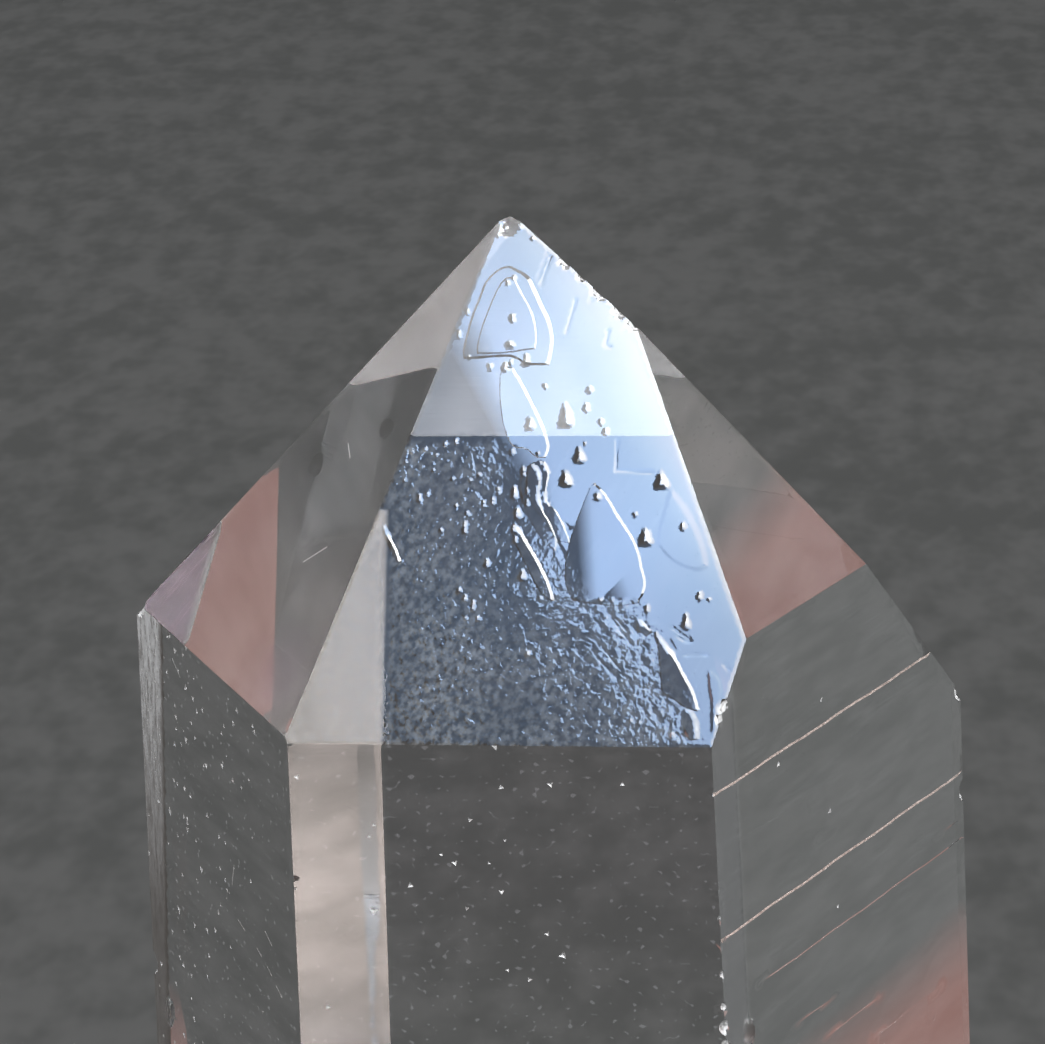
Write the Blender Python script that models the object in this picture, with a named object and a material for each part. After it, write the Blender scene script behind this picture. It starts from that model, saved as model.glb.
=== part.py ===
"""A single quartz crystal: a six-sided prism that narrows to a point of six sloping faces.

It is cut flat at its foot and stands on the cut, with +Z along its long axis and its origin
under the middle of its box. Each face has a flat frame of its own: u runs to the right as the
face is looked at, v runs up it, and w points out of the crystal. u and v start where the face
passes the shoulder, the height at which the point begins.

The low relief is the crystal's own: raised growth plates and studs on the broad sloping face,
ledges across the prism faces, pits, and chips along the edges.
"""

import math
import random

import bmesh
import bpy
from mathutils import Matrix, Vector

MM = 0.001

NAME = "quartz_crystal"
SHOULDER = 63.64 * MM  # height of the shoulder above the cut foot
BLOCK = 160.0 * MM  # side of the block that the faces are cut from

# Prism faces: azimuth of the face from the front in degrees, lean of its normal from the long
# axis in degrees, and its distance from the axis at the shoulder. All lean in a little.
PRISM_FACES = {
    "prism_front": (-0.5, 88.53, 13.41 * MM),
    "prism_front_right": (60.2, 87.54, 13.34 * MM),
    "prism_back_right": (120.0, 89.27, 14.91 * MM),
    "prism_back": (180.0, 89.93, 12.80 * MM),
    "prism_back_left": (240.0, 89.87, 10.72 * MM),
    "prism_front_left": (299.7, 89.40, 12.43 * MM),
}

# Tip faces: azimuth, lean of the normal from the long axis, and the height above the shoulder
# at which the face would cross the axis. The lowest one is the broadest.
TIP_FACES = {
    "tip_front": (-0.3, 52.85, 14.93 * MM),
    "tip_front_right": (61.1, 53.27, 17.88 * MM),
    "tip_back_right": (119.7, 51.94, 11.80 * MM),
    "tip_back": (180.0, 51.80, 12.26 * MM),
    "tip_back_left": (239.9, 51.52, 10.46 * MM),
    "tip_front_left": (300.2, 51.67, 13.21 * MM),
}

# Growth plates on tip_front: height of the top over the face, how much the sides slope in
# towards the middle as a share of their distance from it, and the outline where the plate
# meets the face, in millimetres. "c" marks a sharp corner of the outline.
PLATES = {
    "plate_top": (0.13 * MM, 0.08, [
        (0.55, 13.65, "c"), (1.32, 13.22), (1.90, 12.00), (2.26, 10.95), (2.10, 9.87, "c"),
        (1.00, 9.95), (-0.86, 10.17, "c"), (-0.76, 11.05), (-0.20, 12.89)]),
    "plate_top_inner": (0.25 * MM, 0.12, [
        (0.55, 13.10, "c"), (1.26, 12.13), (1.62, 11.12), (1.55, 10.45, "c"), (0.37, 10.40),
        (-0.45, 10.30, "c"), (-0.28, 11.38), (0.25, 12.55)]),
    "plate_upper": (0.15 * MM, 0.09, [
        (0.70, 9.98, "c"), (1.29, 9.12), (1.94, 7.88), (2.18, 6.78), (2.00, 6.50, "c"),
        (1.20, 6.96), (0.57, 7.88), (0.45, 8.80)]),
    "plate_middle": (0.12 * MM, 0.10, [
        (1.00, 4.25, "c"), (1.82, 3.17), (2.30, 1.94), (2.39, 1.35, "c"), (1.55, 2.55),
        (0.96, 3.60)]),
    "plate_right": (0.16 * MM, 0.08, [
        (3.70, 5.72, "c"), (4.61, 4.49), (5.35, 2.94), (5.56, 2.00), (5.37, 1.47, "c"),
        (4.24, 1.34), (3.20, 2.00), (2.72, 2.95), (3.11, 4.29)]),
    "plate_low": (0.14 * MM, 0.08, [
        (5.85, 0.45, "c"), (6.69, -0.68), (7.27, -1.90), (7.32, -2.35, "c"), (6.25, -1.90),
        (5.98, -0.60)]),
    "plate_left": (0.11 * MM, 0.10, [
        (-3.60, 4.30, "c"), (-3.15, 3.38), (-2.80, 2.70, "c"), (-3.30, 2.90), (-3.65, 3.60)]),
}
PLATE_STEPS = 3  # straight pieces between two points of an outline

# Three-sided studs on tip_front: u, v and the distance from middle to corner, in millimetres.
STUDS = [
    (3.17, 6.74, 0.34), (2.70, 5.88, 0.34), (1.46, 7.86, 0.28), (6.01, 5.77, 0.46),
    (5.48, 3.78, 0.42), (3.32, 8.39, 0.22), (2.60, 8.11, 0.22), (3.27, 9.12, 0.24),
    (4.06, 7.60, 0.22), (3.95, 5.20, 0.22), (1.21, 9.90, 0.30), (0.60, 11.70, 0.24),
    (0.52, 13.53, 0.20), (5.65, 1.13, 0.24), (6.91, 0.85, 0.28), (7.31, 1.73, 0.20),
    (-0.11, 4.99, 0.22), (0.20, 5.02, 0.20), (-0.75, 4.27, 0.20), (0.55, 5.30, 0.26),
    (0.90, 4.60, 0.24), (1.57, -0.32, 0.22), (-0.38, 1.29, 0.22), (-2.15, 5.24, 0.22),
    (-1.60, -1.10, 0.24), (4.10, -0.70, 0.22),
]
STUD_RISE = 0.35  # height of a stud over the face, as a share of its size
STUD_TOP = 0.30  # size of its flat top, as a share of its foot

# Ledges across the prism faces: v in millimetres from the shoulder, and the reach of the ledge
# along u as shares of the face, from -1 at its left edge to 1 at its right edge.
LEDGES = {
    "prism_front_right": [
        (-4.86, -1.2, 1.2), (-10.30, -1.2, 1.2), (-12.88, -0.9, 0.30), (-17.4, -0.4, 1.2),
        (-22.9, -1.2, 1.2), (-29.6, -1.2, 0.5), (-36.2, -1.2, 1.2), (-47.5, -0.2, 1.2)],
    "prism_front": [
        (-17.8, -1.2, 0.4), (-24.6, -1.2, 1.2), (-33.1, -0.5, 1.2), (-42.4, -1.2, 1.2),
        (-51.0, -1.2, 0.2)],
    "prism_front_left": [
        (-19.5, -1.2, 1.2), (-31.8, -1.2, 0.6), (-45.2, -1.2, 1.2)],
    "prism_back_right": [
        (-13.2, -1.2, 1.2), (-21.0, -0.5, 1.2), (-34.4, -1.2, 1.2), (-49.7, -1.2, 1.2)],
    "prism_back": [
        (-9.8, -1.2, 1.2), (-15.6, -1.2, 0.2), (-27.3, -1.2, 1.2), (-40.9, -1.2, 1.2)],
    "prism_back_left": [
        (-8.4, -1.2, 1.2), (-18.9, -1.2, 1.2), (-30.5, -0.6, 1.2), (-44.0, -1.2, 1.2)],
}
LEDGE_DEPTH = 0.14 * MM
LEDGE_SIDE = 0.60 * MM  # side of the square bar that cuts a ledge
FACE_HALF_WIDTH = 8.5 * MM  # of the prism faces, for the reach of the ledges

# Chips along the edges: two faces that meet there, height from the shoulder, radius of the
# round chip and how deep it bites, in millimetres.
CHIPS = [
    ("tip_front", "tip_back_right", 11.25, 0.55, 0.16),
    ("tip_front", "tip_back_right", 10.20, 0.50, 0.20),
    ("tip_front", "tip_back_right", 9.60, 0.45, 0.16),
    ("tip_front", "prism_front_right", -1.75, 0.45, 0.22),
    ("tip_back_right", "prism_front_right", -7.35, 0.60, 0.26),
    ("tip_back_left", "prism_front_left", -2.60, 0.55, 0.24),
    ("prism_front", "prism_front_right", -4.60, 0.40, 0.16),
    ("prism_front", "prism_front_right", -8.30, 0.45, 0.18),
    ("prism_front", "prism_front_right", -10.60, 0.40, 0.16),
    ("prism_front", "prism_front_right", -13.70, 0.80, 0.34),
    ("prism_front", "prism_front_right", -26.00, 0.90, 0.36),
    ("prism_front", "prism_front_right", -43.50, 1.10, 0.45),
    ("prism_front_right", "prism_back_right", -11.30, 0.50, 0.20),
    ("prism_front_right", "prism_back_right", -28.00, 0.80, 0.34),
    ("prism_back_right", "prism_back", -38.00, 0.90, 0.38),
    ("prism_back", "prism_back_left", -24.00, 0.80, 0.30),
    ("prism_back_left", "prism_front_left", -17.00, 0.60, 0.26),
    ("prism_back_left", "prism_front_left", -39.00, 1.10, 0.46),
    ("prism_front_left", "prism_front", -35.00, 0.80, 0.34),
]
# Larger chips where the cut foot has broken away at its rim: two faces, radius and bite.
FOOT_CHIPS = [
    ("prism_front", "prism_front_right", 2.6, 1.00),
    ("prism_front_right", "prism_back_right", 1.9, 0.70),
    ("prism_back", "prism_back_right", 2.3, 0.90),
    ("prism_back_left", "prism_front_left", 2.0, 0.75),
    ("prism_front_left", "prism_front", 1.5, 0.55),
]
TIP_CHIP = 0.95 * MM  # radius of the round chip that blunts the point
TIP_BITE = 0.30 * MM

PIT_SEED = 11
PITS = {"prism_front_left": 14, "prism_front": 8, "prism_front_right": 7, "prism_back_left": 8}
PIT_SIZE = (0.22 * MM, 0.42 * MM)  # least and greatest distance from middle to corner
PIT_DEPTH = 0.5  # as a share of the pit's size


def clear_scene():
    for item in list(bpy.data.objects):
        bpy.data.objects.remove(item, do_unlink=True)


def new_collection(name):
    collection = bpy.data.collections.new(name)
    bpy.context.scene.collection.children.link(collection)
    return collection


def add_object(name, bm, collection, matrix=None):
    """An object made of a bmesh, which is freed."""
    bmesh.ops.recalc_face_normals(bm, faces=bm.faces)
    mesh = bpy.data.meshes.new(name)
    bm.to_mesh(mesh)
    bm.free()
    item = bpy.data.objects.new(name, mesh)
    if matrix is not None:
        item.matrix_world = matrix
    collection.objects.link(item)
    return item


def reach_of(face):
    """How far a face stands from the axis at the shoulder."""
    if face in PRISM_FACES:
        return PRISM_FACES[face][2]
    _, lean, peak = TIP_FACES[face]
    return peak / math.tan(math.radians(lean))


def frame_of(face):
    """The matrix from a face's u, v and w to the crystal's own axes."""
    azimuth, lean, _ = {**PRISM_FACES, **TIP_FACES}[face]
    azimuth, lean = math.radians(azimuth), math.radians(lean)
    outward = Vector((math.sin(azimuth), -math.cos(azimuth), 0.0))
    w = outward * math.sin(lean) + Vector((0.0, 0.0, math.cos(lean)))
    u = Vector((math.cos(azimuth), math.sin(azimuth), 0.0))
    v = w.cross(u)
    start = outward * reach_of(face) + Vector((0.0, 0.0, SHOULDER))
    return Matrix.Translation(start) @ Matrix((u, v, w)).transposed().to_4x4()


def edge_point(face_a, face_b, height):
    """Where two faces' common edge passes a height above the foot."""
    rows, sides = [], []
    for face in (face_a, face_b):
        frame = frame_of(face)
        w = frame.col[2].to_3d()
        rows.append(w)
        sides.append(w.dot(frame.translation))
    rows.append(Vector((0.0, 0.0, 1.0)))
    sides.append(height)
    return Matrix(rows).inverted() @ Vector(sides)


def edge_outward(face_a, face_b):
    """The direction that points straight out of two faces' common edge."""
    return (frame_of(face_a).col[2].to_3d() + frame_of(face_b).col[2].to_3d()).normalized()


def cut_by_face(bm, face):
    frame = frame_of(face)
    cut = bmesh.ops.bisect_plane(
        bm,
        geom=bm.verts[:] + bm.edges[:] + bm.faces[:],
        plane_co=frame.translation,
        plane_no=frame.col[2].to_3d(),
        clear_outer=True,
    )
    edges = [item for item in cut["geom_cut"] if isinstance(item, bmesh.types.BMEdge)]
    bmesh.ops.contextual_create(bm, geom=edges)


def make_crystal(collection):
    """The bare crystal: a block on the foot plane, cut by every face in turn."""
    bm = bmesh.new()
    block = Matrix.Translation((0.0, 0.0, BLOCK / 2))
    bmesh.ops.create_cube(bm, size=BLOCK, matrix=block)
    for face in (*PRISM_FACES, *TIP_FACES):
        cut_by_face(bm, face)
    crystal = add_object(NAME, bm, collection)
    crystal.data.materials.append(quartz_material())
    return crystal


def quartz_material():
    material = bpy.data.materials.new("clear_quartz")
    material.use_nodes = True
    shader = material.node_tree.nodes["Principled BSDF"]
    shader.inputs["Base Color"].default_value = (0.90, 0.90, 0.89, 1.0)
    shader.inputs["Roughness"].default_value = 0.04
    shader.inputs["Metallic"].default_value = 0.0
    shader.inputs["IOR"].default_value = 1.544
    shader.inputs["Transmission Weight"].default_value = 1.0
    return material


def mesh_from_curve(curve):
    """The bmesh of a filled curve, with its caps welded to its sides. The curve is removed."""
    graph = bpy.context.evaluated_depsgraph_get()
    bm = bmesh.new()
    bm.from_mesh(bpy.data.meshes.new_from_object(curve.evaluated_get(graph)))
    bmesh.ops.remove_doubles(bm, verts=bm.verts, dist=0.001 * MM)
    bpy.data.objects.remove(curve, do_unlink=True)
    return bm


def make_plate(name, rise, taper, outline, collection):
    """A flat plate with sloping sides, whose top stands over tip_front by its rise."""
    shape = bpy.data.curves.new(name, "CURVE")
    shape.dimensions = "2D"
    shape.fill_mode = "BOTH"
    shape.resolution_u = PLATE_STEPS
    shape.extrude = rise
    spline = shape.splines.new("BEZIER")
    spline.bezier_points.add(len(outline) - 1)
    spline.use_cyclic_u = True
    for point, (u, v, *corner) in zip(spline.bezier_points, outline):
        point.co = (u * MM, v * MM, 0.0)
        handle = "VECTOR" if corner else "AUTO"
        point.handle_left_type = point.handle_right_type = handle
    curve = bpy.data.objects.new(name, shape)
    collection.objects.link(curve)
    bpy.context.view_layer.update()
    bm = mesh_from_curve(curve)
    middle = Vector((sum(u for u, *_ in outline), sum(v for _, v, *_ in outline), 0.0))
    middle *= MM / len(outline)
    for vertex in bm.verts:
        grow = -taper if vertex.co.z > 0 else taper
        away = Vector((vertex.co.x - middle.x, vertex.co.y - middle.y, 0.0))
        vertex.co += away * grow
    return add_object(name, bm, collection, frame_of("tip_front"))


def make_stud(name, u, v, size, collection):
    """A stud with a pointed top corner, standing out of tip_front."""
    rise = STUD_RISE * size
    bm = bmesh.new()
    bmesh.ops.create_cone(
        bm, cap_ends=True, segments=3, radius1=size, radius2=STUD_TOP * size, depth=2 * rise
    )
    matrix = frame_of("tip_front") @ Matrix.Translation((u * MM, v * MM, 0.0))
    return add_object(name, bm, collection, matrix)


def make_ledge(name, face, v, left, right, collection):
    """A long square bar on edge, which cuts a shallow notch across a prism face."""
    length = (right - left) * FACE_HALF_WIDTH
    middle = (right + left) / 2 * FACE_HALF_WIDTH
    lift = LEDGE_SIDE / math.sqrt(2) - LEDGE_DEPTH
    bm = bmesh.new()
    size = Matrix.Diagonal((length, LEDGE_SIDE, LEDGE_SIDE, 1.0))
    bmesh.ops.create_cube(bm, size=1.0, matrix=Matrix.Rotation(math.radians(45), 4, "X") @ size)
    matrix = frame_of(face) @ Matrix.Translation((middle, v * MM, lift))
    return add_object(name, bm, collection, matrix)


def make_chip(name, place, outward, radius, bite, collection):
    """A round cutter that takes a shell-shaped chip, its bite deep, out of an edge."""
    bm = bmesh.new()
    bmesh.ops.create_icosphere(bm, subdivisions=2, radius=radius)
    return add_object(
        name, bm, collection, Matrix.Translation(place + outward * (radius - bite))
    )


def make_pit(name, face, u, v, size, turn, collection):
    """A three-sided cutter, point down, which leaves a pit in a face."""
    depth = PIT_DEPTH * size
    bm = bmesh.new()
    bmesh.ops.create_cone(
        bm, cap_ends=True, segments=3, radius1=0.0, radius2=2 * size, depth=2 * depth
    )
    spin = Matrix.Rotation(turn, 4, "Z")
    matrix = frame_of(face) @ Matrix.Translation((u, v, 0.0)) @ spin
    return add_object(name, bm, collection, matrix)


def make_relief(collection):
    """What stands out of the faces."""
    for name, (rise, rim, outline) in PLATES.items():
        make_plate(name, rise, rim, outline, collection)
    for number, (u, v, size) in enumerate(STUDS):
        make_stud(f"stud_{number:02d}", u, v, size * MM, collection)


def make_cuts(collection):
    """What is taken out of the faces and edges."""
    for face, ledges in LEDGES.items():
        for number, (v, left, right) in enumerate(ledges):
            make_ledge(f"ledge_{face}_{number}", face, v, left, right, collection)
    for number, (face_a, face_b, height, radius, bite) in enumerate(CHIPS):
        place = edge_point(face_a, face_b, SHOULDER + height * MM)
        outward = edge_outward(face_a, face_b)
        make_chip(f"chip_{number:02d}", place, outward, radius * MM, bite * MM, collection)
    for number, (face_a, face_b, radius, bite) in enumerate(FOOT_CHIPS):
        place = edge_point(face_a, face_b, 0.0)
        outward = edge_outward(face_a, face_b)
        make_chip(f"foot_chip_{number}", place, outward, radius * MM, bite * MM, collection)
    scatter = random.Random(PIT_SEED)
    for face, count in PITS.items():
        for number in range(count):
            u = scatter.uniform(-0.6, 0.6) * FACE_HALF_WIDTH
            v = scatter.uniform(-0.9, -0.12) * SHOULDER
            size = scatter.uniform(*PIT_SIZE)
            turn = scatter.uniform(0.0, math.tau)
            make_pit(f"pit_{face}_{number:02d}", face, u, v, size, turn, collection)


def join_and_cut(crystal, raised, cutters):
    for name, operation, operands in (
        ("relief", "UNION", raised),
        ("cuts", "DIFFERENCE", cutters),
    ):
        boolean = crystal.modifiers.new(name, "BOOLEAN")
        boolean.operation = operation
        boolean.operand_type = "COLLECTION"
        boolean.collection = operands
        boolean.solver = "EXACT"


def chip_point(crystal, collection):
    """Blunts the sharp point with one round chip."""
    point = max((vertex.co for vertex in crystal.data.vertices), key=lambda place: place.z)
    up = Vector((0.0, 0.0, 1.0))
    make_chip("tip_chip", point.copy(), up, TIP_CHIP, TIP_BITE, collection)


def stand_on_origin(items):
    """Moves everything so that the crystal's box stands centred on the origin."""
    corners = [edge_point(*pair, 0.0) for pair in foot_corners()]
    middle_x = (min(c.x for c in corners) + max(c.x for c in corners)) / 2
    middle_y = (min(c.y for c in corners) + max(c.y for c in corners)) / 2
    shift = Matrix.Translation((-middle_x, -middle_y, 0.0))
    for item in items:
        item.matrix_world = shift @ item.matrix_world


def foot_corners():
    names = list(PRISM_FACES)
    return zip(names, names[1:] + names[:1])


def hide_operands(collections):
    for collection in collections:
        for item in collection.objects:
            item.hide_render = True
            item.display_type = "WIRE"


def main():
    clear_scene()
    model = new_collection(NAME)
    raised = new_collection("raised_relief")
    cutters = new_collection("cutters")
    crystal = make_crystal(model)
    make_relief(raised)
    make_cuts(cutters)
    chip_point(crystal, cutters)
    join_and_cut(crystal, raised, cutters)
    hide_operands((raised, cutters))
    stand_on_origin([crystal, *raised.objects, *cutters.objects])


main()
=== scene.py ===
"""The looks of a clear quartz point: its real surface, its material, and a small studio."""

import math
import random

import bmesh
import bpy
import numpy as np
from mathutils import Matrix, Vector, noise
from mathutils.geometry import delaunay_2d_cdt
from mathutils.kdtree import KDTree


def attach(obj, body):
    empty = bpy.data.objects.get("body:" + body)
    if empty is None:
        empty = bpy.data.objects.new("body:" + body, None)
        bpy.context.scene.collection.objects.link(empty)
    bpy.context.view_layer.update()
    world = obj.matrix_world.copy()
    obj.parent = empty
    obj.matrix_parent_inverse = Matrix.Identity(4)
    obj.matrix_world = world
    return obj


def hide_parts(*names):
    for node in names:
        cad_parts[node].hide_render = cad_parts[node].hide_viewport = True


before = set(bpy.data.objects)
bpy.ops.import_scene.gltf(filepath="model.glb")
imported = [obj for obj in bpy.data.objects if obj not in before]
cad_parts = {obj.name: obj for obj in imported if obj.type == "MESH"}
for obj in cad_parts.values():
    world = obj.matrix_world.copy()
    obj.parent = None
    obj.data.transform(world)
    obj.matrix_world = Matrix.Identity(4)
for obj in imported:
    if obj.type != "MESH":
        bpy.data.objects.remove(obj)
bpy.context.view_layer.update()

MM = 0.001
NODE = "quartz_crystal"

# ---------------------------------------------------------------- the crystal's faces
# Every face has a flat frame: u to the right as it is looked at, v up it, w out of it. u and v
# start where the face passes the shoulder, the height at which the point begins.
SHOULDER = 63.64 * MM
BLOCK = 160.0 * MM  # the block that the faces are cut from

# Azimuth from the front, lean of the normal from the long axis, both in degrees, and the
# distance from the axis at the shoulder.
PRISM_FACES = {
    "prism_front": (-0.5, 88.53, 13.41 * MM),
    "prism_front_right": (60.2, 87.54, 13.34 * MM),
    "prism_back_right": (120.0, 89.27, 14.91 * MM),
    "prism_back": (180.0, 89.93, 12.80 * MM),
    "prism_back_left": (240.0, 89.87, 10.72 * MM),
    "prism_front_left": (299.7, 89.40, 12.43 * MM),
}
# Azimuth, lean, and the height above the shoulder at which the face would cross the axis.
TIP_FACES = {
    "tip_front": (-0.3, 52.85, 14.93 * MM),
    "tip_front_right": (61.1, 53.27, 17.88 * MM),
    "tip_back_right": (119.7, 51.94, 11.80 * MM),
    "tip_back": (180.0, 51.80, 12.26 * MM),
    "tip_back_left": (239.9, 51.52, 10.46 * MM),
    "tip_front_left": (300.2, 51.67, 13.21 * MM),
}
FOOT = "foot"


def reach_of(face):
    """How far a face stands from the axis at the shoulder."""
    if face in PRISM_FACES:
        return PRISM_FACES[face][2]
    _, lean, peak = TIP_FACES[face]
    return peak / math.tan(math.radians(lean))


def frame_of(face):
    """The matrix from a face's u, v and w to the crystal's own axes."""
    if face == FOOT:
        return Matrix.Rotation(math.pi, 4, "X")
    azimuth, lean, _ = {**PRISM_FACES, **TIP_FACES}[face]
    azimuth, lean = math.radians(azimuth), math.radians(lean)
    outward = Vector((math.sin(azimuth), -math.cos(azimuth), 0.0))
    w = outward * math.sin(lean) + Vector((0.0, 0.0, math.cos(lean)))
    u = Vector((math.cos(azimuth), math.sin(azimuth), 0.0))
    v = w.cross(u)
    start = outward * reach_of(face) + Vector((0.0, 0.0, SHOULDER))
    return Matrix.Translation(start) @ Matrix((u, v, w)).transposed().to_4x4()


def edge_point(face_a, face_b, height):
    """Where two faces' common edge passes a height above the foot."""
    normals = [frame_of(face).col[2].to_3d() for face in (face_a, face_b)]
    sides = [w.dot(frame_of(f).translation) for w, f in zip(normals, (face_a, face_b))]
    rows = Matrix((*normals, Vector((0.0, 0.0, 1.0))))
    return rows.inverted() @ Vector((*sides, height))


def foot_middle():
    """The middle of the foot's box, seen from above, which the crystal stands centred on."""
    names = list(PRISM_FACES)
    corners = [edge_point(a, b, 0.0) for a, b in zip(names, names[1:] + names[:1])]
    xs, ys = [c.x for c in corners], [c.y for c in corners]
    return Vector(((min(xs) + max(xs)) / 2, (min(ys) + max(ys)) / 2, 0.0))


def bare_crystal():
    """Corner points of the bare crystal, and each face's corners in order."""
    bm = bmesh.new()
    bmesh.ops.create_cube(bm, size=BLOCK, matrix=Matrix.Translation((0.0, 0.0, BLOCK / 2)))
    for face in (*PRISM_FACES, *TIP_FACES):
        place = frame_of(face)
        cut = bmesh.ops.bisect_plane(
            bm,
            geom=bm.verts[:] + bm.edges[:] + bm.faces[:],
            plane_co=place.translation,
            plane_no=place.col[2].to_3d(),
            clear_outer=True,
        )
        edges = [item for item in cut["geom_cut"] if isinstance(item, bmesh.types.BMEdge)]
        bmesh.ops.contextual_create(bm, geom=edges)
    bmesh.ops.recalc_face_normals(bm, faces=bm.faces)
    bm.verts.index_update()
    bm.normal_update()
    names = (*PRISM_FACES, *TIP_FACES, FOOT)
    outward = {name: frame_of(name).col[2].to_3d() for name in names}
    points = [vertex.co.copy() for vertex in bm.verts]
    loops = {}
    for face in bm.faces:
        name = max(names, key=lambda item: outward[item].dot(face.normal))
        loops[name] = [vertex.index for vertex in face.verts]
    bm.free()
    return points, loops


# ---------------------------------------------------------------- low relief
# Growth plates on tip_front: rise of the top, width of the sloping rim on the side that faces
# right, how much the top droops to the left as a share of its rise, the outline and, where it
# isn't Plate.STEEP, how wide the rim that faces left is. Lengths and places are in millimetres,
# here and in all tables of relief, and "c" marks a sharp corner of an outline.
PLATES = {
    "plate_top": (0.034, 0.13, 0.14, [
        (0.70, 13.53, "c"), (1.28, 13.19), (1.55, 12.74), (1.82, 12.13), (2.09, 11.55),
        (2.23, 10.97), (2.21, 10.49), (2.10, 9.91, "c"), (1.32, 9.92), (0.72, 10.21),
        (-0.49, 10.14), (-0.88, 10.14, "c"), (-0.92, 10.50), (-0.66, 11.65), (-0.40, 12.38),
        (-0.17, 12.98), (0.31, 13.45)], 0.6),
    "plate_top_inner": (0.014, 0.06, 0.05, [
        (0.81, 13.12, "c"), (1.12, 12.50), (1.39, 12.01), (1.57, 11.51), (1.64, 10.97),
        (1.61, 10.49, "c"), (0.37, 10.32), (-0.43, 10.32, "c"), (-0.43, 10.61), (-0.31, 11.19),
        (-0.17, 11.65), (0.02, 12.17), (0.22, 12.65), (0.50, 13.05)], 0.8),
    "plate_upper": (0.024, 0.10, -0.30, [
        (0.83, 9.84, "c"), (1.17, 9.28), (1.48, 8.68), (1.76, 8.11), (1.98, 7.60), (2.15, 6.99),
        (2.03, 6.56, "c"), (1.69, 6.60), (1.34, 6.88), (0.92, 6.96), (0.64, 7.42), (0.49, 8.00),
        (0.40, 8.72), (0.39, 9.52), (0.56, 9.88, "c")]),
    "plate_middle": (0.030, 0.11, 0.70, [
        (0.97, 4.24, "c"), (1.29, 3.86), (1.57, 3.38), (1.86, 2.89), (2.14, 2.32), (2.32, 1.86),
        (2.43, 1.37, "c"), (1.94, 1.76), (1.66, 2.21), (1.38, 2.78), (1.05, 3.46), (0.87, 3.99)]),
    "plate_right": (0.024, 0.09, 0.52, [
        (3.72, 5.67, "c"), (4.00, 5.42), (4.26, 5.06), (4.57, 4.52), (4.82, 4.13), (5.10, 3.68),
        (5.31, 3.15), (5.42, 2.64), (5.53, 2.15), (5.47, 1.76), (5.30, 1.41, "c"), (4.65, 1.30),
        (3.80, 1.37), (3.04, 1.47, "c"), (2.79, 2.04), (2.75, 2.71), (2.87, 3.50), (3.07, 4.17),
        (3.32, 4.88), (3.57, 5.49)]),
    "plate_low": (0.026, 0.11, 0.90, [
        (5.86, 0.49, "c"), (6.20, 0.01), (6.58, -0.48), (6.89, -1.08), (7.17, -1.59),
        (7.33, -2.05), (7.42, -2.41, "c"), (6.94, -2.27), (6.63, -2.06), (6.32, -1.85),
        (6.12, -1.71), (6.05, -1.12), (6.00, -0.42), (5.90, 0.11)]),
    "plate_left": (0.020, 0.09, 0.80, [
        (-3.51, 4.24, "c"), (-3.27, 3.74), (-3.04, 3.31), (-2.85, 2.78, "c"), (-3.06, 2.92),
        (-3.32, 3.35), (-3.54, 3.88)]),
    "plate_edge": (0.0014, 0.20, 0.20, [
        (6.35, 5.52, "c"), (6.84, 4.92), (7.26, 4.17), (7.57, 3.35), (7.68, 2.72, "c"),
        (7.20, 2.57), (6.41, 2.93), (5.89, 3.53, "c"), (5.99, 4.17), (6.22, 5.06)]),
    "strand_outer": (0.010, 0.05, 0.90, [
        (1.86, 6.49, "c"), (2.04, 6.35), (2.15, 5.95), (2.10, 5.59), (2.06, 5.20), (2.16, 4.92),
        (2.41, 4.70), (2.59, 4.38), (2.76, 3.99), (2.94, 3.53, "c"), (2.50, 3.63), (2.04, 4.24),
        (1.51, 5.06), (1.36, 5.85), (1.49, 6.35, "c")]),
    "strand_inner": (0.009, 0.05, 0.90, [
        (1.59, 6.35, "c"), (1.77, 6.13), (1.86, 5.81), (1.81, 5.42), (1.84, 5.06), (2.00, 4.61),
        (2.17, 4.35), (2.35, 3.95), (2.46, 3.60), (2.40, 3.24, "c"), (1.98, 3.60), (1.59, 4.20),
        (1.30, 4.88), (1.15, 5.59), (1.25, 6.20, "c")]),
    "strand_low": (0.014, 0.07, 1.00, [
        (5.20, 0.95, "c"), (5.53, 0.63), (5.79, 0.39, "c"), (5.55, 0.25), (5.24, 0.53)]),
    "plate_foot": (0.010, 0.12, 0.90, [
        (6.87, -2.30, "c"), (7.18, -2.41), (7.35, -2.76), (7.39, -3.35, "c"), (7.02, -3.35),
        (6.84, -2.83)]),
    "plate_corner": (0.0015, 0.16, 0.00, [
        (7.67, -0.87, "c"), (8.05, -1.15), (8.19, -1.57), (8.13, -2.09), (8.00, -3.21, "c"),
        (7.83, -3.14), (7.79, -2.06), (7.71, -1.57)]),
}

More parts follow.
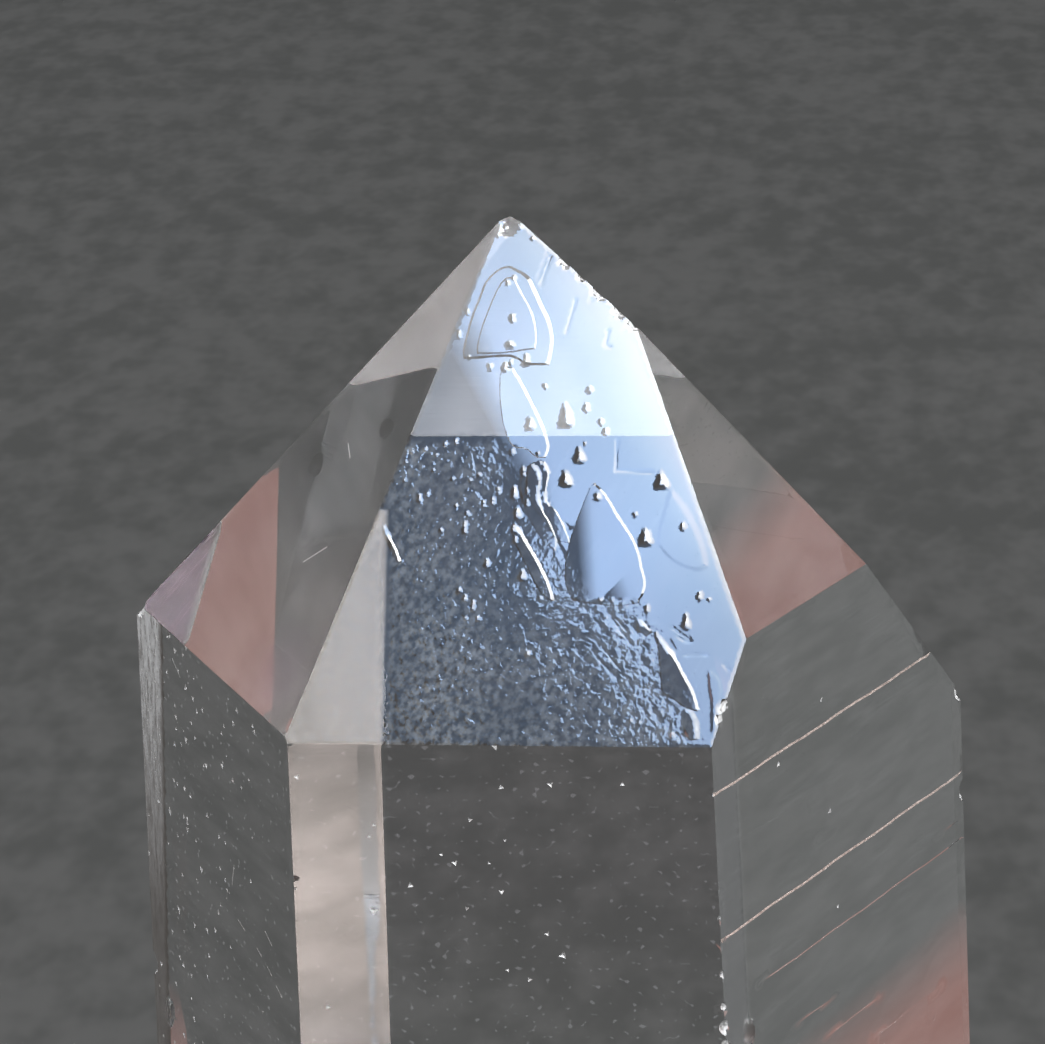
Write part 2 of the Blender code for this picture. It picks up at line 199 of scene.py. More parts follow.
# Small growth hillocks on tip_front, shaped like a tooth: middle u and v, width and height.
TEETH = [
    (1.46, 7.82, 0.38, 0.54), (1.96, 9.17, 0.17, 0.25), (3.50, 9.05, 0.28, 0.33),
    (3.39, 8.43, 0.24, 0.47), (2.69, 8.11, 0.59, 0.94), (2.74, 7.89, 0.28, 0.47),
    (3.91, 7.89, 0.21, 0.32), (4.08, 7.53, 0.24, 0.36), (3.18, 6.67, 0.48, 0.61),
    (2.72, 5.84, 0.52, 0.64), (6.01, 5.77, 0.62, 0.71), (3.83, 5.20, 0.28, 0.36),
    (5.48, 3.78, 0.55, 0.71), (6.76, 4.13, 0.24, 0.32), (3.37, 7.10, 0.14, 0.14),
    (5.13, 4.56, 0.17, 0.18), (0.78, 11.64, 0.21, 0.44), (0.80, 13.10, 0.17, 0.26),
    (0.59, 12.90, 0.14, 0.26), (0.71, 10.68, 0.38, 0.29), (1.28, 10.10, 0.35, 0.51),
    (0.56, 9.88, 0.28, 0.47), (0.76, 10.03, 0.17, 0.25), (0.03, 9.88, 0.21, 0.25),
    (-0.70, 10.21, 0.14, 0.18), (-0.79, 11.92, 0.14, 0.36), (-1.07, 11.10, 0.14, 0.44),
    (1.07, 4.63, 0.34, 0.57), (1.03, 3.67, 0.21, 0.43), (0.94, 3.99, 0.14, 0.21),
    (1.28, 2.43, 0.31, 0.57), (-2.31, 5.17, 0.17, 0.43), (-2.04, 5.27, 0.14, 0.25),
    (-0.10, 4.95, 0.17, 0.36), (0.22, 5.06, 0.17, 0.36), (-0.73, 4.18, 0.21, 0.68),
    (-0.65, 4.59, 0.17, 0.25), (0.06, 2.85, 0.21, 0.46), (0.96, 5.36, 0.28, 0.64),
    (1.41, 5.36, 0.14, 0.32), (0.84, 6.78, 0.21, 0.25), (1.26, 6.11, 0.21, 0.50),
    (1.40, 4.99, 0.14, 0.36), (-1.19, 5.83, 0.17, 0.18), (-0.28, 5.97, 0.17, 0.21),
    (-0.39, 1.34, 0.24, 0.49), (-0.66, 1.62, 0.17, 0.35), (-0.22, 0.87, 0.21, 0.28),
    (-0.87, 1.86, 0.27, 0.28), (-0.63, 0.87, 0.17, 0.21), (-3.07, 6.13, 0.14, 0.22),
    (1.75, 6.73, 0.17, 0.18), (0.40, 5.42, 0.17, 0.39), (1.91, 1.58, 0.17, 0.18),
    (1.53, -0.36, 0.27, 0.28), (7.36, 1.69, 0.24, 0.39), (7.69, 1.55, 0.14, 0.14),
    (6.91, 0.78, 0.34, 0.63), (5.58, 1.23, 0.20, 0.35), (5.07, -3.53, 0.20, 0.24),
    (6.47, -3.19, 0.20, 0.28), (5.08, -2.72, 0.17, 0.17), (5.35, -2.80, 0.20, 0.14),
    (0.98, 14.99, 0.24, 0.29), (1.19, 14.92, 0.17, 0.22), (1.43, 14.59, 0.17, 0.29),
    (0.22, 14.70, 0.18, 0.22), (-2.84, 6.42, 0.17, 0.18), (-2.61, 6.78, 0.21, 0.18),
    (-2.16, 6.89, 0.17, 0.18), (-1.77, 6.67, 0.17, 0.14), (-1.47, 7.07, 0.14, 0.22),
    (-1.09, 7.17, 0.14, 0.25), (-2.86, 5.78, 0.14, 0.18), (-1.86, 6.13, 0.17, 0.14),
    (-1.54, 3.99, 0.14, 0.18), (-1.37, 4.34, 0.21, 0.11), (-1.04, 4.88, 0.14, 0.18),
    (-0.58, 5.77, 0.17, 0.14), (3.97, 1.51, 0.21, 0.14), (4.38, 1.48, 0.24, 0.14),
]
# A tooth's outline as shares of its width and height.
TOOTH_OUTLINE = [(-0.10, 0.55, "c"), (0.28, 0.18), (0.47, -0.22), (0.48, -0.46, "c"),
                 (-0.45, -0.50, "c")]
TOOTH_RIM, TOOTH_RISE = 0.50, 0.037  # as shares of its width
TOOTH_STEEP = 0.5  # width of its left rim, as a share of its right one

# Fine creases in tip_front, as lines of points.
CREASES = [
    [(4.49, 7.21), (4.45, 6.09), (5.71, 6.06)], [(2.98, 12.27), (2.65, 11.09)],
    [(4.14, 11.18), (4.01, 10.60), (4.22, 10.56)], [(2.01, 14.07), (1.63, 13.01)],
    [(2.12, 13.89), (1.75, 12.86)], [(6.89, -0.44), (7.30, -0.38), (7.64, -0.43)],
    [(8.23, -0.76), (8.41, -0.97)], [(6.47, 0.53), (6.71, 0.32), (7.02, 0.18)],
    [(6.58, 0.25), (6.92, 0.04), (7.12, 0.07)], [(3.60, 12.60), (3.49, 12.24)],
    [(4.41, 11.94), (4.28, 11.63)], [(4.80, 11.47), (4.67, 11.14)],
    [(-1.23, 4.24), (-1.56, 3.53), (-1.86, 2.81), (-2.21, 1.79), (-2.43, 1.04)],
    [(-1.47, -0.51), (-1.87, -1.14), (-2.23, -1.80)], [(2.69, 4.20), (2.94, 4.03)],
    [(2.43, 3.60), (2.64, 3.28), (2.74, 3.07)], [(4.27, 0.99), (5.05, -0.07)],
    [(4.35, 1.05), (4.97, 0.31)], [(3.71, -0.31), (4.57, -1.26)], [(3.99, -0.07), (4.75, -1.02)],
    [(6.33, 0.11), (6.51, -0.24)],
]
CREASE_WIDTH, CREASE_DEPTH = 0.05, 0.0018

# Ledges across the prism faces: v, where each starts and ends between the face's left edge (-1)
# and its right edge (1), and its size as a share of the largest.
LEDGES = {
    "prism_front_right": [
        (-4.93, -1.2, 1.2, 1.0), (-10.37, -1.2, 1.2, 1.0), (-12.95, -0.72, 1.2, 0.4),
        (-9.15, -0.20, 0.05, 0.25), (-12.17, 0.80, 1.2, 0.3), (-15.50, -0.44, 0.0, 0.25),
        (-16.83, -0.20, 0.38, 0.35), (-18.25, 0.18, 0.92, 0.45), (-36.2, -1.2, 1.2, 1.0),
        (-47.5, -0.2, 1.2, 0.8)],
    "prism_front": [(-44.1, -1.2, 1.2, 1.0), (-52.0, -1.2, 0.2, 0.8)],
    "prism_front_left": [(-21.5, -1.2, 0.1, 0.8), (-52.2, -1.2, 1.2, 1.0)],
    "prism_back_right": [(-33.4, -0.5, 1.2, 0.8), (-38.7, -1.2, 1.2, 1.0)],
    "prism_back": [(-33.3, -1.2, 1.2, 1.0), (-40.9, -1.2, 0.6, 0.8)],
    "prism_back_left": [(-26.5, -0.6, 1.2, 0.8), (-60.0, -1.2, 1.2, 1.0)],
}
LEDGE_DEPTH = 0.03
LEDGE_WIDTH = 0.068  # of the sloping facet
LEDGE_FADE = 2.6  # how far above it the face comes back out
LEDGE_FALL = 0.028  # how far a ledge drops for each millimetre to the right
FACE_HALF_WIDTH = 8.5  # about half of a prism face's width

# Short scratches.
SCRATCHES = {
    "prism_front_left": [
        [(3.33, -11.61), (3.94, -11.82)], [(5.77, -11.03), (6.35, -11.36)],
        [(4.98, -12.03), (5.38, -12.20)], [(5.86, -12.36), (6.24, -12.58)],
        [(6.60, -12.80), (7.08, -13.06)], [(3.16, -9.56), (2.90, -10.46)],
        [(-1.88, -3.49), (-1.19, -3.97)]],
    "tip_front_left": [[(1.34, 6.02), (1.99, 5.64)], [(3.03, 1.73), (3.84, 2.66)]],
}
SCRATCH_WIDTH, SCRATCH_DEPTH = 0.020, 0.003

# Chips, by the two faces that meet at the edge: height from the shoulder, radius and bite.
# Those of the foot have no height.
CHIPS = {
    ("tip_front", "tip_back_right"): [
        (10.90, 0.26, 0.12), (10.45, 0.22, 0.09), (9.98, 0.34, 0.18), (9.45, 0.30, 0.16),
        (9.08, 0.30, 0.16), (8.62, 0.24, 0.10)],
    ("tip_front", "prism_front_right"): [(-1.75, 0.32, 0.13), (-2.10, 0.25, 0.10)],
    ("tip_back_right", "prism_front_right"): [(-7.35, 0.60, 0.26)],
    ("tip_back_left", "prism_front_left"): [(-2.60, 0.55, 0.24)],
    ("prism_front", "prism_front_right"): [
        (-4.60, 0.22, 0.07), (-8.30, 0.20, 0.06), (-9.30, 0.24, 0.08), (-10.30, 0.22, 0.07),
        (-11.40, 0.26, 0.09), (-12.60, 0.28, 0.10), (-13.40, 0.40, 0.17), (-14.10, 0.34, 0.14),
        (-26.00, 0.90, 0.36), (-43.50, 1.10, 0.45)],
    ("prism_front_right", "prism_back_right"): [(-11.30, 0.50, 0.20), (-28.00, 0.80, 0.34)],
    ("prism_back_right", "prism_back"): [(-38.00, 0.90, 0.38)],
    ("prism_back", "prism_back_left"): [(-24.00, 0.80, 0.30)],
    ("prism_back_left", "prism_front_left"): [(-17.00, 0.60, 0.26), (-39.00, 1.10, 0.46)],
    ("prism_front_left", "prism_front"): [(-35.00, 0.80, 0.34)],
}
FOOT_CHIPS = {
    ("prism_front", "prism_front_right"): (0.8, 0.25),
    ("prism_front_right", "prism_back_right"): (1.9, 0.70),
    ("prism_back", "prism_back_right"): (2.3, 0.90),
    ("prism_back_left", "prism_front_left"): (2.0, 0.75),
    ("prism_front_left", "prism_front"): (1.5, 0.55),
}
TIP_CHIP, TIP_BITE = 0.95, 0.30  # radius and bite of the chip at the very tip
# Shallow round hollows: face, u, v, radius and depth.
HOLLOWS = [("tip_front", 0.60, 14.92, 0.55, 0.075)]

# How many three-sided pits are strewn over the upper part of a face.
PIT_SEED = 11
PITS = {"prism_front_left": 135, "prism_front": 30, "prism_front_right": 5}
PIT_SPREAD = (-0.8, 0.8, -0.1)  # leftmost, rightmost and usual place, in half widths of a face
PIT_TOP, PIT_REACH = -2.5, 20.0  # they start at this v and reach this far down
PIT_THINNING = 1.4  # over 1 where they get fewer towards the foot
PIT_SIZE = (0.06, 0.16)  # least and greatest distance from middle to corner
PIT_DEPTH = 0.4  # as a share of a pit's size

# Spacing of the surface's points on each face. Below FINE_ABOVE it is COARSE times as wide.
SPACING = {"tip_front": 0.09, "tip_front_left": 0.22, "tip_front_right": 0.22,
           "tip_back_right": 0.34, "tip_back": 0.34, "tip_back_left": 0.34,
           "prism_front": 0.25, "prism_front_right": 0.25, "prism_front_left": 0.25,
           "prism_back_right": 0.40, "prism_back": 0.40, "prism_back_left": 0.40, FOOT: 0.60}
FINE_ABOVE, COARSE = -18.0, 1.8
CHIP_SPACING = 0.10  # in and around the chips


# ---------------------------------------------------------------- curves in a face's plane
def smooth_outline(outline, steps=5):
    """A closed curve through the outline's points, straight-ended at those marked "c"."""
    points = [np.array(item[:2]) for item in outline]
    corner = [len(item) > 2 for item in outline]
    count, curve = len(points), []
    for i in range(count):
        before, a, b, after = (points[(i + k) % count] for k in (-1, 0, 1, 2))
        leave = (b - a) if corner[i] else (b - before) / 2
        arrive = (b - a) if corner[(i + 1) % count] else (after - a) / 2
        for step in range(steps):
            t = step / steps
            curve.append(
                (2 * t**3 - 3 * t**2 + 1) * a + (t**3 - 2 * t**2 + t) * leave
                + (3 * t**2 - 2 * t**3) * b + (t**3 - t**2) * arrive
            )
    return np.array(curve)


def sides_of(polygon):
    """Where each side of a polygon starts, and where it ends."""
    return polygon, np.roll(polygon, -1, axis=0)


def to_segments(points, a, b):
    """Distance from each point to its nearest segment, and that segment's number."""
    along = b - a
    length = np.maximum((along**2).sum(1), 1e-12)
    t = ((points[:, None] - a) * along).sum(2) / length
    nearest = a + np.clip(t, 0, 1)[..., None] * along
    gap = np.sqrt(((points[:, None] - nearest) ** 2).sum(2))
    index = gap.argmin(1)
    return gap[np.arange(len(points)), index], index


def distance_to_lines(points, ends, pairs):
    """Distance from each point to the nearest of many short lines, which are taken as dots."""
    dots = []
    for a, b in pairs:
        count = max(2, int(np.linalg.norm(ends[b] - ends[a]) / DOT_SPACING) + 1)
        dots += [ends[a] + (ends[b] - ends[a]) * k / (count - 1) for k in range(count)]
    tree = KDTree(len(dots))
    for number, dot in enumerate(dots):
        tree.insert((dot[0], dot[1], 0.0), number)
    tree.balance()
    return np.array([tree.find((x, y, 0.0))[2] for x, y in points])


def turn_of(polygon):
    """1 where a polygon runs against the clock, -1 where it runs with it."""
    a, b = sides_of(polygon)
    return np.sign((a[:, 0] * b[:, 1] - b[:, 0] * a[:, 1]).sum())


def is_inside(points, polygon):
    a, b = sides_of(polygon)
    x, y = points[:, 0:1], points[:, 1:2]
    crosses = (a[:, 1] > y) != (b[:, 1] > y)
    rise = np.where(b[:, 1] == a[:, 1], 1e-12, b[:, 1] - a[:, 1])
    left = x < (b[:, 0] - a[:, 0]) * (y - a[:, 1]) / rise + a[:, 0]
    return (crosses & left).sum(1) % 2 == 1


def ramp_up(values, start, width):
    """0 up to start, and 1 from start + width on."""
    return np.clip((values - start) / width, 0, 1)


class Relief:
    """Something that stands out of a face or sinks into it. It has a height at each point, and
    lines that the mesh keeps as edges."""

    def rough(self, points):
        """Which points lie on a broken or worn surface: none, unless a kind says otherwise."""
        return np.zeros(len(points), bool)


class Plate(Relief):
    """A raised growth plate. Its rim is wide and sloping where it faces right, steep elsewhere,
    and its top droops towards the left."""

    STEEP = 0.28  # width of the rim that faces left, as a share of the rim that faces right
    RIGHT = np.array([0.96, 0.28])  # the way that the wide rim faces

    def __init__(self, rise, rim, droop, outline, steep=STEEP):
        self.rise, self.droop = rise, droop
        self.line = smooth_outline(outline)
        self.start, self.end = sides_of(self.line)
        along = self.end - self.start
        out = turn_of(self.line) * np.stack([along[:, 1], -along[:, 0]], 1)
        out /= np.linalg.norm(out, axis=1, keepdims=True)
        self.width = rim * (steep + (1 - steep) * np.clip(out @ self.RIGHT, 0, 1))
        self.rim = out * self.width[:, None]
        self.low, self.high = self.line.min(0), self.line.max(0)

    def height(self, points):
        result = np.zeros(len(points))
        inside = np.flatnonzero(((points > self.low) & (points < self.high)).all(1))
        inside = inside[is_inside(points[inside], self.line)]
        if len(inside):
            gap, segment = to_segments(points[inside], self.start, self.end)
            climb = np.clip(gap / self.width[segment], 0, 1)
            left = (self.high[0] - points[inside, 0]) / (self.high[0] - self.low[0])
            result[inside] = self.rise * climb * (1 - self.droop * left**2)
        return result

    def lines(self):
        """The rim's foot, and its top edge where the rims don't meet."""
        inner = self.line - (self.rim + np.roll(self.rim, 1, 0)) / 2
        gap, segment = to_segments(inner, self.start, self.end)
        keep = is_inside(inner, self.line) & (gap > 0.8 * self.width[segment])
        keep &= np.roll(keep, -1)
        return [*zip(self.start, self.end), *zip(*(ends[keep] for ends in sides_of(inner)))]


def tooth(u, v, width, height):
    outline = [(u + item[0] * width, v + item[1] * height, *item[2:]) for item in TOOTH_OUTLINE]
    return Plate(TOOTH_RISE * width, TOOTH_RIM * width, 0.0, outline, TOOTH_STEEP)


class Groove(Relief):
    """A fine V-shaped groove along a line."""

    def __init__(self, points, width, depth):
        line = np.array(points)
        self.start, self.end = line[:-1], line[1:]
        self.width, self.depth = width, depth

    def height(self, points):
        gap = to_segments(points, self.start, self.end)[0]
        return -self.depth * np.clip(1 - gap / self.width, 0, 1)

    def lines(self):
        return list(zip(self.start, self.end))


class Scratch(Groove):
    """A groove whose surface is broken."""

    def rough(self, points):
        return to_segments(points, self.start, self.end)[0] < self.width

    def lines(self):
        """Its middle and both of its sides."""
        along = self.end - self.start
        side = np.stack([-along[:, 1], along[:, 0]], 1)
        side *= self.width / np.linalg.norm(along, axis=1, keepdims=True)
        shifts = (side, 0 * side, -side)
        return [pair for shift in shifts for pair in zip(self.start + shift, self.end + shift)]


class Pit(Relief):
    """A three-sided pit with a broken surface."""

    def __init__(self, u, v, size, turn):
        self.depth = PIT_DEPTH * size
        angles = np.radians([90.0, 210.0, 330.0]) + turn
        self.middle = np.array([u, v])
        self.corners = self.middle + size * np.stack([np.cos(angles), np.sin(angles)], 1)
        self.low, self.high = self.corners.min(0), self.corners.max(0)

    def share(self, points):
        """0 at the pit's edge and outside, 1 at its bottom."""
        result = np.zeros(len(points))
        near = np.flatnonzero(((points >= self.low) & (points <= self.high)).all(1))
        if len(near):
            share = np.full(len(near), np.inf)
            for a, b in zip(*sides_of(self.corners)):
                across = np.array([b[1] - a[1], a[0] - b[0]])
                inward = (points[near] - a) @ across / ((self.middle - a) @ across)
                share = np.minimum(share, inward)
            result[near] = np.clip(share, 0, 1)
        return result

    def height(self, points):
        return -self.depth * self.share(points)

    def rough(self, points):
        return self.share(points) > 0

    def lines(self):
        return [*zip(*sides_of(self.corners)), *((corner, self.middle) for corner in self.corners)]


class Ledge(Relief):
    """A narrow facet across a face, above which the face is set back a little."""

    STEP = 0.5  # length of the ledge's straight pieces
    RUN_OUT = 1.5  # over which it gets shallow at either end
    FINE = 0.6  # share of LEDGE_DEPTH under which a ledge is too fine to be worn
    BARE_END = 0.3  # of a worn ledge, at either end

    def __init__(self, v, left, right, size, seed):
        self.v, self.left, self.right = v, left * FACE_HALF_WIDTH, right * FACE_HALF_WIDTH
        self.depth, self.width = size * LEDGE_DEPTH, size**0.5 * LEDGE_WIDTH
        self.seed = seed

    def middle(self, u):
        """The ledge's v at each u: nearly level, with a little wander."""
        wander = 0.020 * np.sin(1.3 * u + self.seed) + 0.008 * np.sin(4.1 * u + 2 * self.seed)
        return self.v - LEDGE_FALL * u + wander

    def inward(self, points):
        """How far each point is from the ledge's nearer end."""
        return np.minimum(points[:, 0] - self.left, self.right - points[:, 0])

    def height(self, points):
        over = points[:, 1] - self.middle(points[:, 0])
        climb = np.clip(over / self.width, 0, 1)
        back = np.clip(1 - (over - self.width) / LEDGE_FADE, 0, 1)
        return -self.depth * climb * back * np.clip(self.inward(points) / self.RUN_OUT, 0, 1)

    def rough(self, points):
        """The ledge's own facet, where it isn't too fine."""
        if self.depth < self.FINE * LEDGE_DEPTH:
            return super().rough(points)
        over = points[:, 1] - self.middle(points[:, 0])
        return (over > 0) & (over < self.width) & (self.inward(points) > self.BARE_END)

    def lines(self):
        count = max(2, int((self.right - self.left) / self.STEP))
        us = np.linspace(self.left, self.right, count)
        low = np.stack([us, self.middle(us)], 1)
        high = low + np.array([0.0, self.width])
        return [pair for line in (low, high) for pair in zip(line[:-1], line[1:])]


def relief_of(face):
    """Everything that stands out of a face or sinks into it."""
    relief = []
    if face == "tip_front":
        relief += [Plate(*plate) for plate in PLATES.values()]
        relief += [tooth(*place) for place in TEETH]
        relief += [Groove(points, CREASE_WIDTH, CREASE_DEPTH) for points in CREASES]
    relief += [Ledge(*ledge, number) for number, ledge in enumerate(LEDGES.get(face, ()))]
    relief += [Scratch(line, SCRATCH_WIDTH, SCRATCH_DEPTH) for line in SCRATCHES.get(face, ())]
    scatter = random.Random(f"{face} {PIT_SEED}")
    for _ in range(PITS.get(face, 0)):
        u = scatter.triangular(*PIT_SPREAD) * FACE_HALF_WIDTH
        v = PIT_TOP - scatter.uniform(0.0, 1.0) ** PIT_THINNING * PIT_REACH
        size = scatter.uniform(*PIT_SIZE)
        relief.append(Pit(u, v, size, scatter.uniform(0.0, math.tau)))
    return relief


# ---------------------------------------------------------------- the surface mesh
NEAR_EDGE = 0.45  # least distance of an inner point from the face's edge, in spacings
NEAR_LINE = 0.40  # and from a line of the relief
LINE_MARGIN = 0.12  # least distance of a relief line from the face's edge, in millimetres
RELIEF_FADE = 0.15  # the relief runs out over this width at the face's edge
CHIP_REACH = 1.15  # points are close together this far around a chip, in its radii
CHIP_ROUGH = 0.05  # unevenness of a chip's wall, as a share of its radius
SHARP_ANGLE = 8.5  # degrees over which two triangles meet in a sharp edge
EDGE_WANDER = 0.004  # how far the edges are worn down, unevenly
FOOT_WANDER, FOOT_STEP = 0.17, 0.3  # the foot's edge is worn more, in steps of this length
DOT_SPACING = 0.03
CLEAR, ETCHED, FROSTED, BROKEN, SAWN, WORN = range(6)  # materials, as make_crystal adds them
WAVE_TIP, WAVE_PRISM = 0.0016, 0.0005  # height of the long waves on either kind of face
WAVE_REPEATS = 0.16  # for each millimetre
MOTTLE_DEPTH = 0.0023  # of the etched area

# Which way the fine growth lines run in each face's plane, in degrees from its u axis.
GRAIN = {"tip_front": 60.0, "tip_front_left": 78.0, "tip_front_right": 102.0,
         "tip_back_right": 80.0, "tip_back": 80.0, "tip_back_left": 80.0}


def seed_of(face):
    """A number of each face's own, which sets its noise apart."""
    return float(sum(map(ord, face)) % 97)


def chip_balls():
    """Centre and radius of the round hollow that each chip leaves, in millimetres, and whether
    its wall is broken, as it is for all but the shallow hollows."""
    balls = []
    places = [(faces, SHOULDER + height * MM, radius, bite)
              for faces, chips in CHIPS.items() for height, radius, bite in chips]
    places += [(faces, 0.0, radius, bite) for faces, (radius, bite) in FOOT_CHIPS.items()]
    for (face_a, face_b), height, radius, bite in places:
        outward = (frame_of(face_a).col[2] + frame_of(face_b).col[2]).to_3d().normalized()
        place = edge_point(face_a, face_b, height) / MM
        balls.append((np.array(place + outward * (radius - bite)), radius, True))
    for face, u, v, radius, depth in HOLLOWS:
        centre = frame_of(face) @ Vector((u * MM, v * MM, (radius - depth) * MM))
        balls.append((np.array(centre) / MM, radius, False))
    return balls


def spacing_at(face, v):
    return SPACING[face] * (COARSE if face in PRISM_FACES and v < FINE_ABOVE else 1.0)


def wander(place):
    """How unevenly an edge is worn at a place: a long wave and a short one, -1 to 1."""
    return noise.noise(Vector(place * 2.1)) * 0.6 + noise.noise(Vector(place * 7.3)) * 0.4


class Skin:
    """The crystal's whole surface: one closed set of points and triangles, in millimetres."""

    def __init__(self):
        corners, self.loops = bare_crystal()
        self.points = [np.array(corner) / MM for corner in corners]
        self.triangles = []
        self.material = []
        self.grain, self.marks = [], []
        self.edges = {}
        self.balls = chip_balls()
        # The chip at the very tip is worn smooth.
        top = max(self.points, key=lambda point: point[2])
        self.balls.append((top + np.array([0.0, 0.0, TIP_CHIP - TIP_BITE]), TIP_CHIP, False))
        self.sides = {}
        for face, loop in self.loops.items():
            for pair in zip(loop, loop[1:] + loop[:1]):
                self.sides.setdefault(tuple(sorted(pair)), []).append(face)
        for face in self.loops:
            self.cover(face)

    def chip_near(self, point):
        return any(np.linalg.norm(point - centre) < CHIP_REACH * radius
                   for centre, radius, _ in self.balls)

    def edge(self, a, b):
        """The numbers of the points along the edge from corner a to corner b, without b."""
        key = (min(a, b), max(a, b))
        if key not in self.edges:
            start, end = self.points[key[0]], self.points[key[1]]
            faces = self.sides[key]
            outward = sum(np.array(frame_of(face).col[2].to_3d()) for face in faces)
            outward /= np.linalg.norm(outward)
            length = np.linalg.norm(end - start)
            depth = FOOT_WANDER if FOOT in faces else EDGE_WANDER
            along, here, numbers = 0.0, start, []
            while True:
                step = min(spacing_at(face, here[2] - SHOULDER / MM) for face in faces)
                step = FOOT_STEP if FOOT in faces else step
                step = CHIP_SPACING if self.chip_near(here) else step
                along += step
                if along > length - 0.6 * step:
                    break
                here = start + (end - start) * along / length
                numbers.append(len(self.points))
                self.points.append(here - outward * depth * (1 + wander(here)))
            self.edges[key] = [key[0], *numbers, key[1]]
        line = self.edges[key]
        return line[:-1] if a == key[0] else line[:0:-1]

    def flattened(self, inverse, numbers):
        """The u and v of some of the surface's points, as a face sees them."""
        return np.array([tuple(inverse @ Vector(self.points[i] * MM))[:2] for i in numbers]) / MM

    def lattice(self, face, polygon):
        """Inner points of a face in staggered rows, closer together around the chips. Each is a
        u, a v and the spacing there."""
        inverse = frame_of(face).inverted()
        low, high = polygon.min(0), polygon.max(0)
        rows, v, odd = [], high[1], False
        while v > low[1]:
            step = spacing_at(face, v)
            us = np.arange(low[0] + (step / 2 if odd else 0.0), high[0], step)
            rows.append(np.stack([us, np.full(len(us), v), np.full(len(us), step)], 1))
            v, odd = v - step * math.sqrt(3) / 2, not odd
        spots = np.concatenate(rows)
        for centre, radius, _ in self.balls:
            local = np.array(inverse @ Vector(centre * MM)) / MM
            reach = CHIP_REACH * radius
            if abs(local[2]) < reach:
                ring = math.sqrt(reach**2 - local[2] ** 2)
                spots = spots[np.hypot(spots[:, 0] - local[0], spots[:, 1] - local[1]) > ring]
                us, vs = np.meshgrid(*(np.arange(-ring, ring, CHIP_SPACING) for _ in range(2)))
                fine = np.stack([us.ravel(), vs.ravel()], 1)
                fine = fine[np.hypot(*fine.T) < ring] + local[:2]
                spots = np.concatenate([spots, np.c_[fine, np.full(len(fine), CHIP_SPACING)]])
        return spots

    def cover(self, face):
        """Triangulates one face, with the lines of its relief kept as edges."""
        inverse = frame_of(face).inverted()
        loop = self.loops[face]
        rim = [number for a, b in zip(loop, loop[1:] + loop[:1]) for number in self.edge(a, b)]
        polygon, outline = self.flattened(inverse, rim), self.flattened(inverse, loop)
        if turn_of(polygon) < 0:
            rim, polygon = rim[::-1], polygon[::-1]
        start, end = sides_of(outline)
        relief = relief_of(face)
        ends, pairs = clear_lines(relief, outline)

        spots = self.lattice(face, polygon)
        spots = spots[is_inside(spots[:, :2], outline)]
        spots = spots[to_segments(spots[:, :2], start, end)[0] > NEAR_EDGE * spots[:, 2]]
        if pairs:
            gap = distance_to_lines(spots[:, :2], ends, pairs)
            spots = spots[gap > NEAR_LINE * spots[:, 2]]

        count = len(polygon)
        joined = [(i, (i + 1) % count) for i in range(count)]
        joined += [(count + a, count + b) for a, b in pairs]
        flat = np.concatenate([polygon, ends, spots[:, :2]])
        corners, _, triangles, origin, _, _ = delaunay_2d_cdt(
            [Vector(p) for p in flat.tolist()], joined, [], 1, 1e-6, True
        )
        flat = np.array([tuple(corner) for corner in corners])
        on_rim = [bool(sources) and min(sources) < count for sources in origin]
        numbers = {k: rim[min(origin[k])] for k in range(len(corners)) if on_rim[k]}
        new = [k for k in range(len(corners)) if not on_rim[k]]
        height = waviness(face, flat[new])
        for item in relief:
            height += item.height(flat[new])
        height *= np.clip(to_segments(flat[new], start, end)[0] / RELIEF_FADE, 0, 1)
        for k, (u, v), w in zip(new, flat[new], height):
            numbers[k] = len(self.points)
            self.points.append(np.array(frame_of(face) @ Vector((u * MM, v * MM, w * MM))) / MM)

        # The edge wanders inwards, so triangles between rim points alone may lie outside it.
        inner = [three for three in triangles if not all(on_rim[k] for k in three)]
        thin = [three for three in triangles if all(on_rim[k] for k in three)]
        if thin:
            within = is_inside(flat[np.array(thin)].mean(1), polygon)
            inner += [thin[i] for i in np.flatnonzero(within)]
        self.triangles += [tuple(numbers[k] for k in three) for three in inner]
        self.paint(face, flat, np.array(inner), relief)

    def paint(self, face, flat, triangles, relief):
        """Notes the material of each triangle, and the patterns' place and strength there."""
        marks = marks_of(face, flat)
        material = np.full(len(triangles), {FOOT: SAWN, "tip_front": ETCHED}.get(face, CLEAR))
        if face == "prism_front_left":
            material[marks[triangles, PAINTED_REFLECTION_AND_FROST].max(1) > 0] = FROSTED
        middles = flat[triangles].mean(1)
        for item in relief:
            material[item.rough(middles)] = WORN if isinstance(item, Ledge) else BROKEN
        self.material += material.tolist()
        self.grain.append(grain_place(face, flat)[triangles.ravel()])
        self.marks.append(marks[triangles.ravel()])

    def carve(self, places):
        """Pushes every point that lies in a chip's hollow out to the hollow's wall."""
        inside = np.zeros(len(places), bool)
        for centre, radius, broken in self.balls:
            away = places - centre
            gap = np.linalg.norm(away, axis=1)
            inside |= (gap < radius) & broken
            for i in np.flatnonzero(gap < radius):
                rough = 1 + CHIP_ROUGH * noise.noise(Vector(places[i] * 4.0))
                places[i] = centre + away[i] / gap[i] * max(gap[i], radius * rough)
        self.material = np.array(self.material)
        self.material[inside[np.array(self.triangles)].all(1)] = BROKEN
        return places


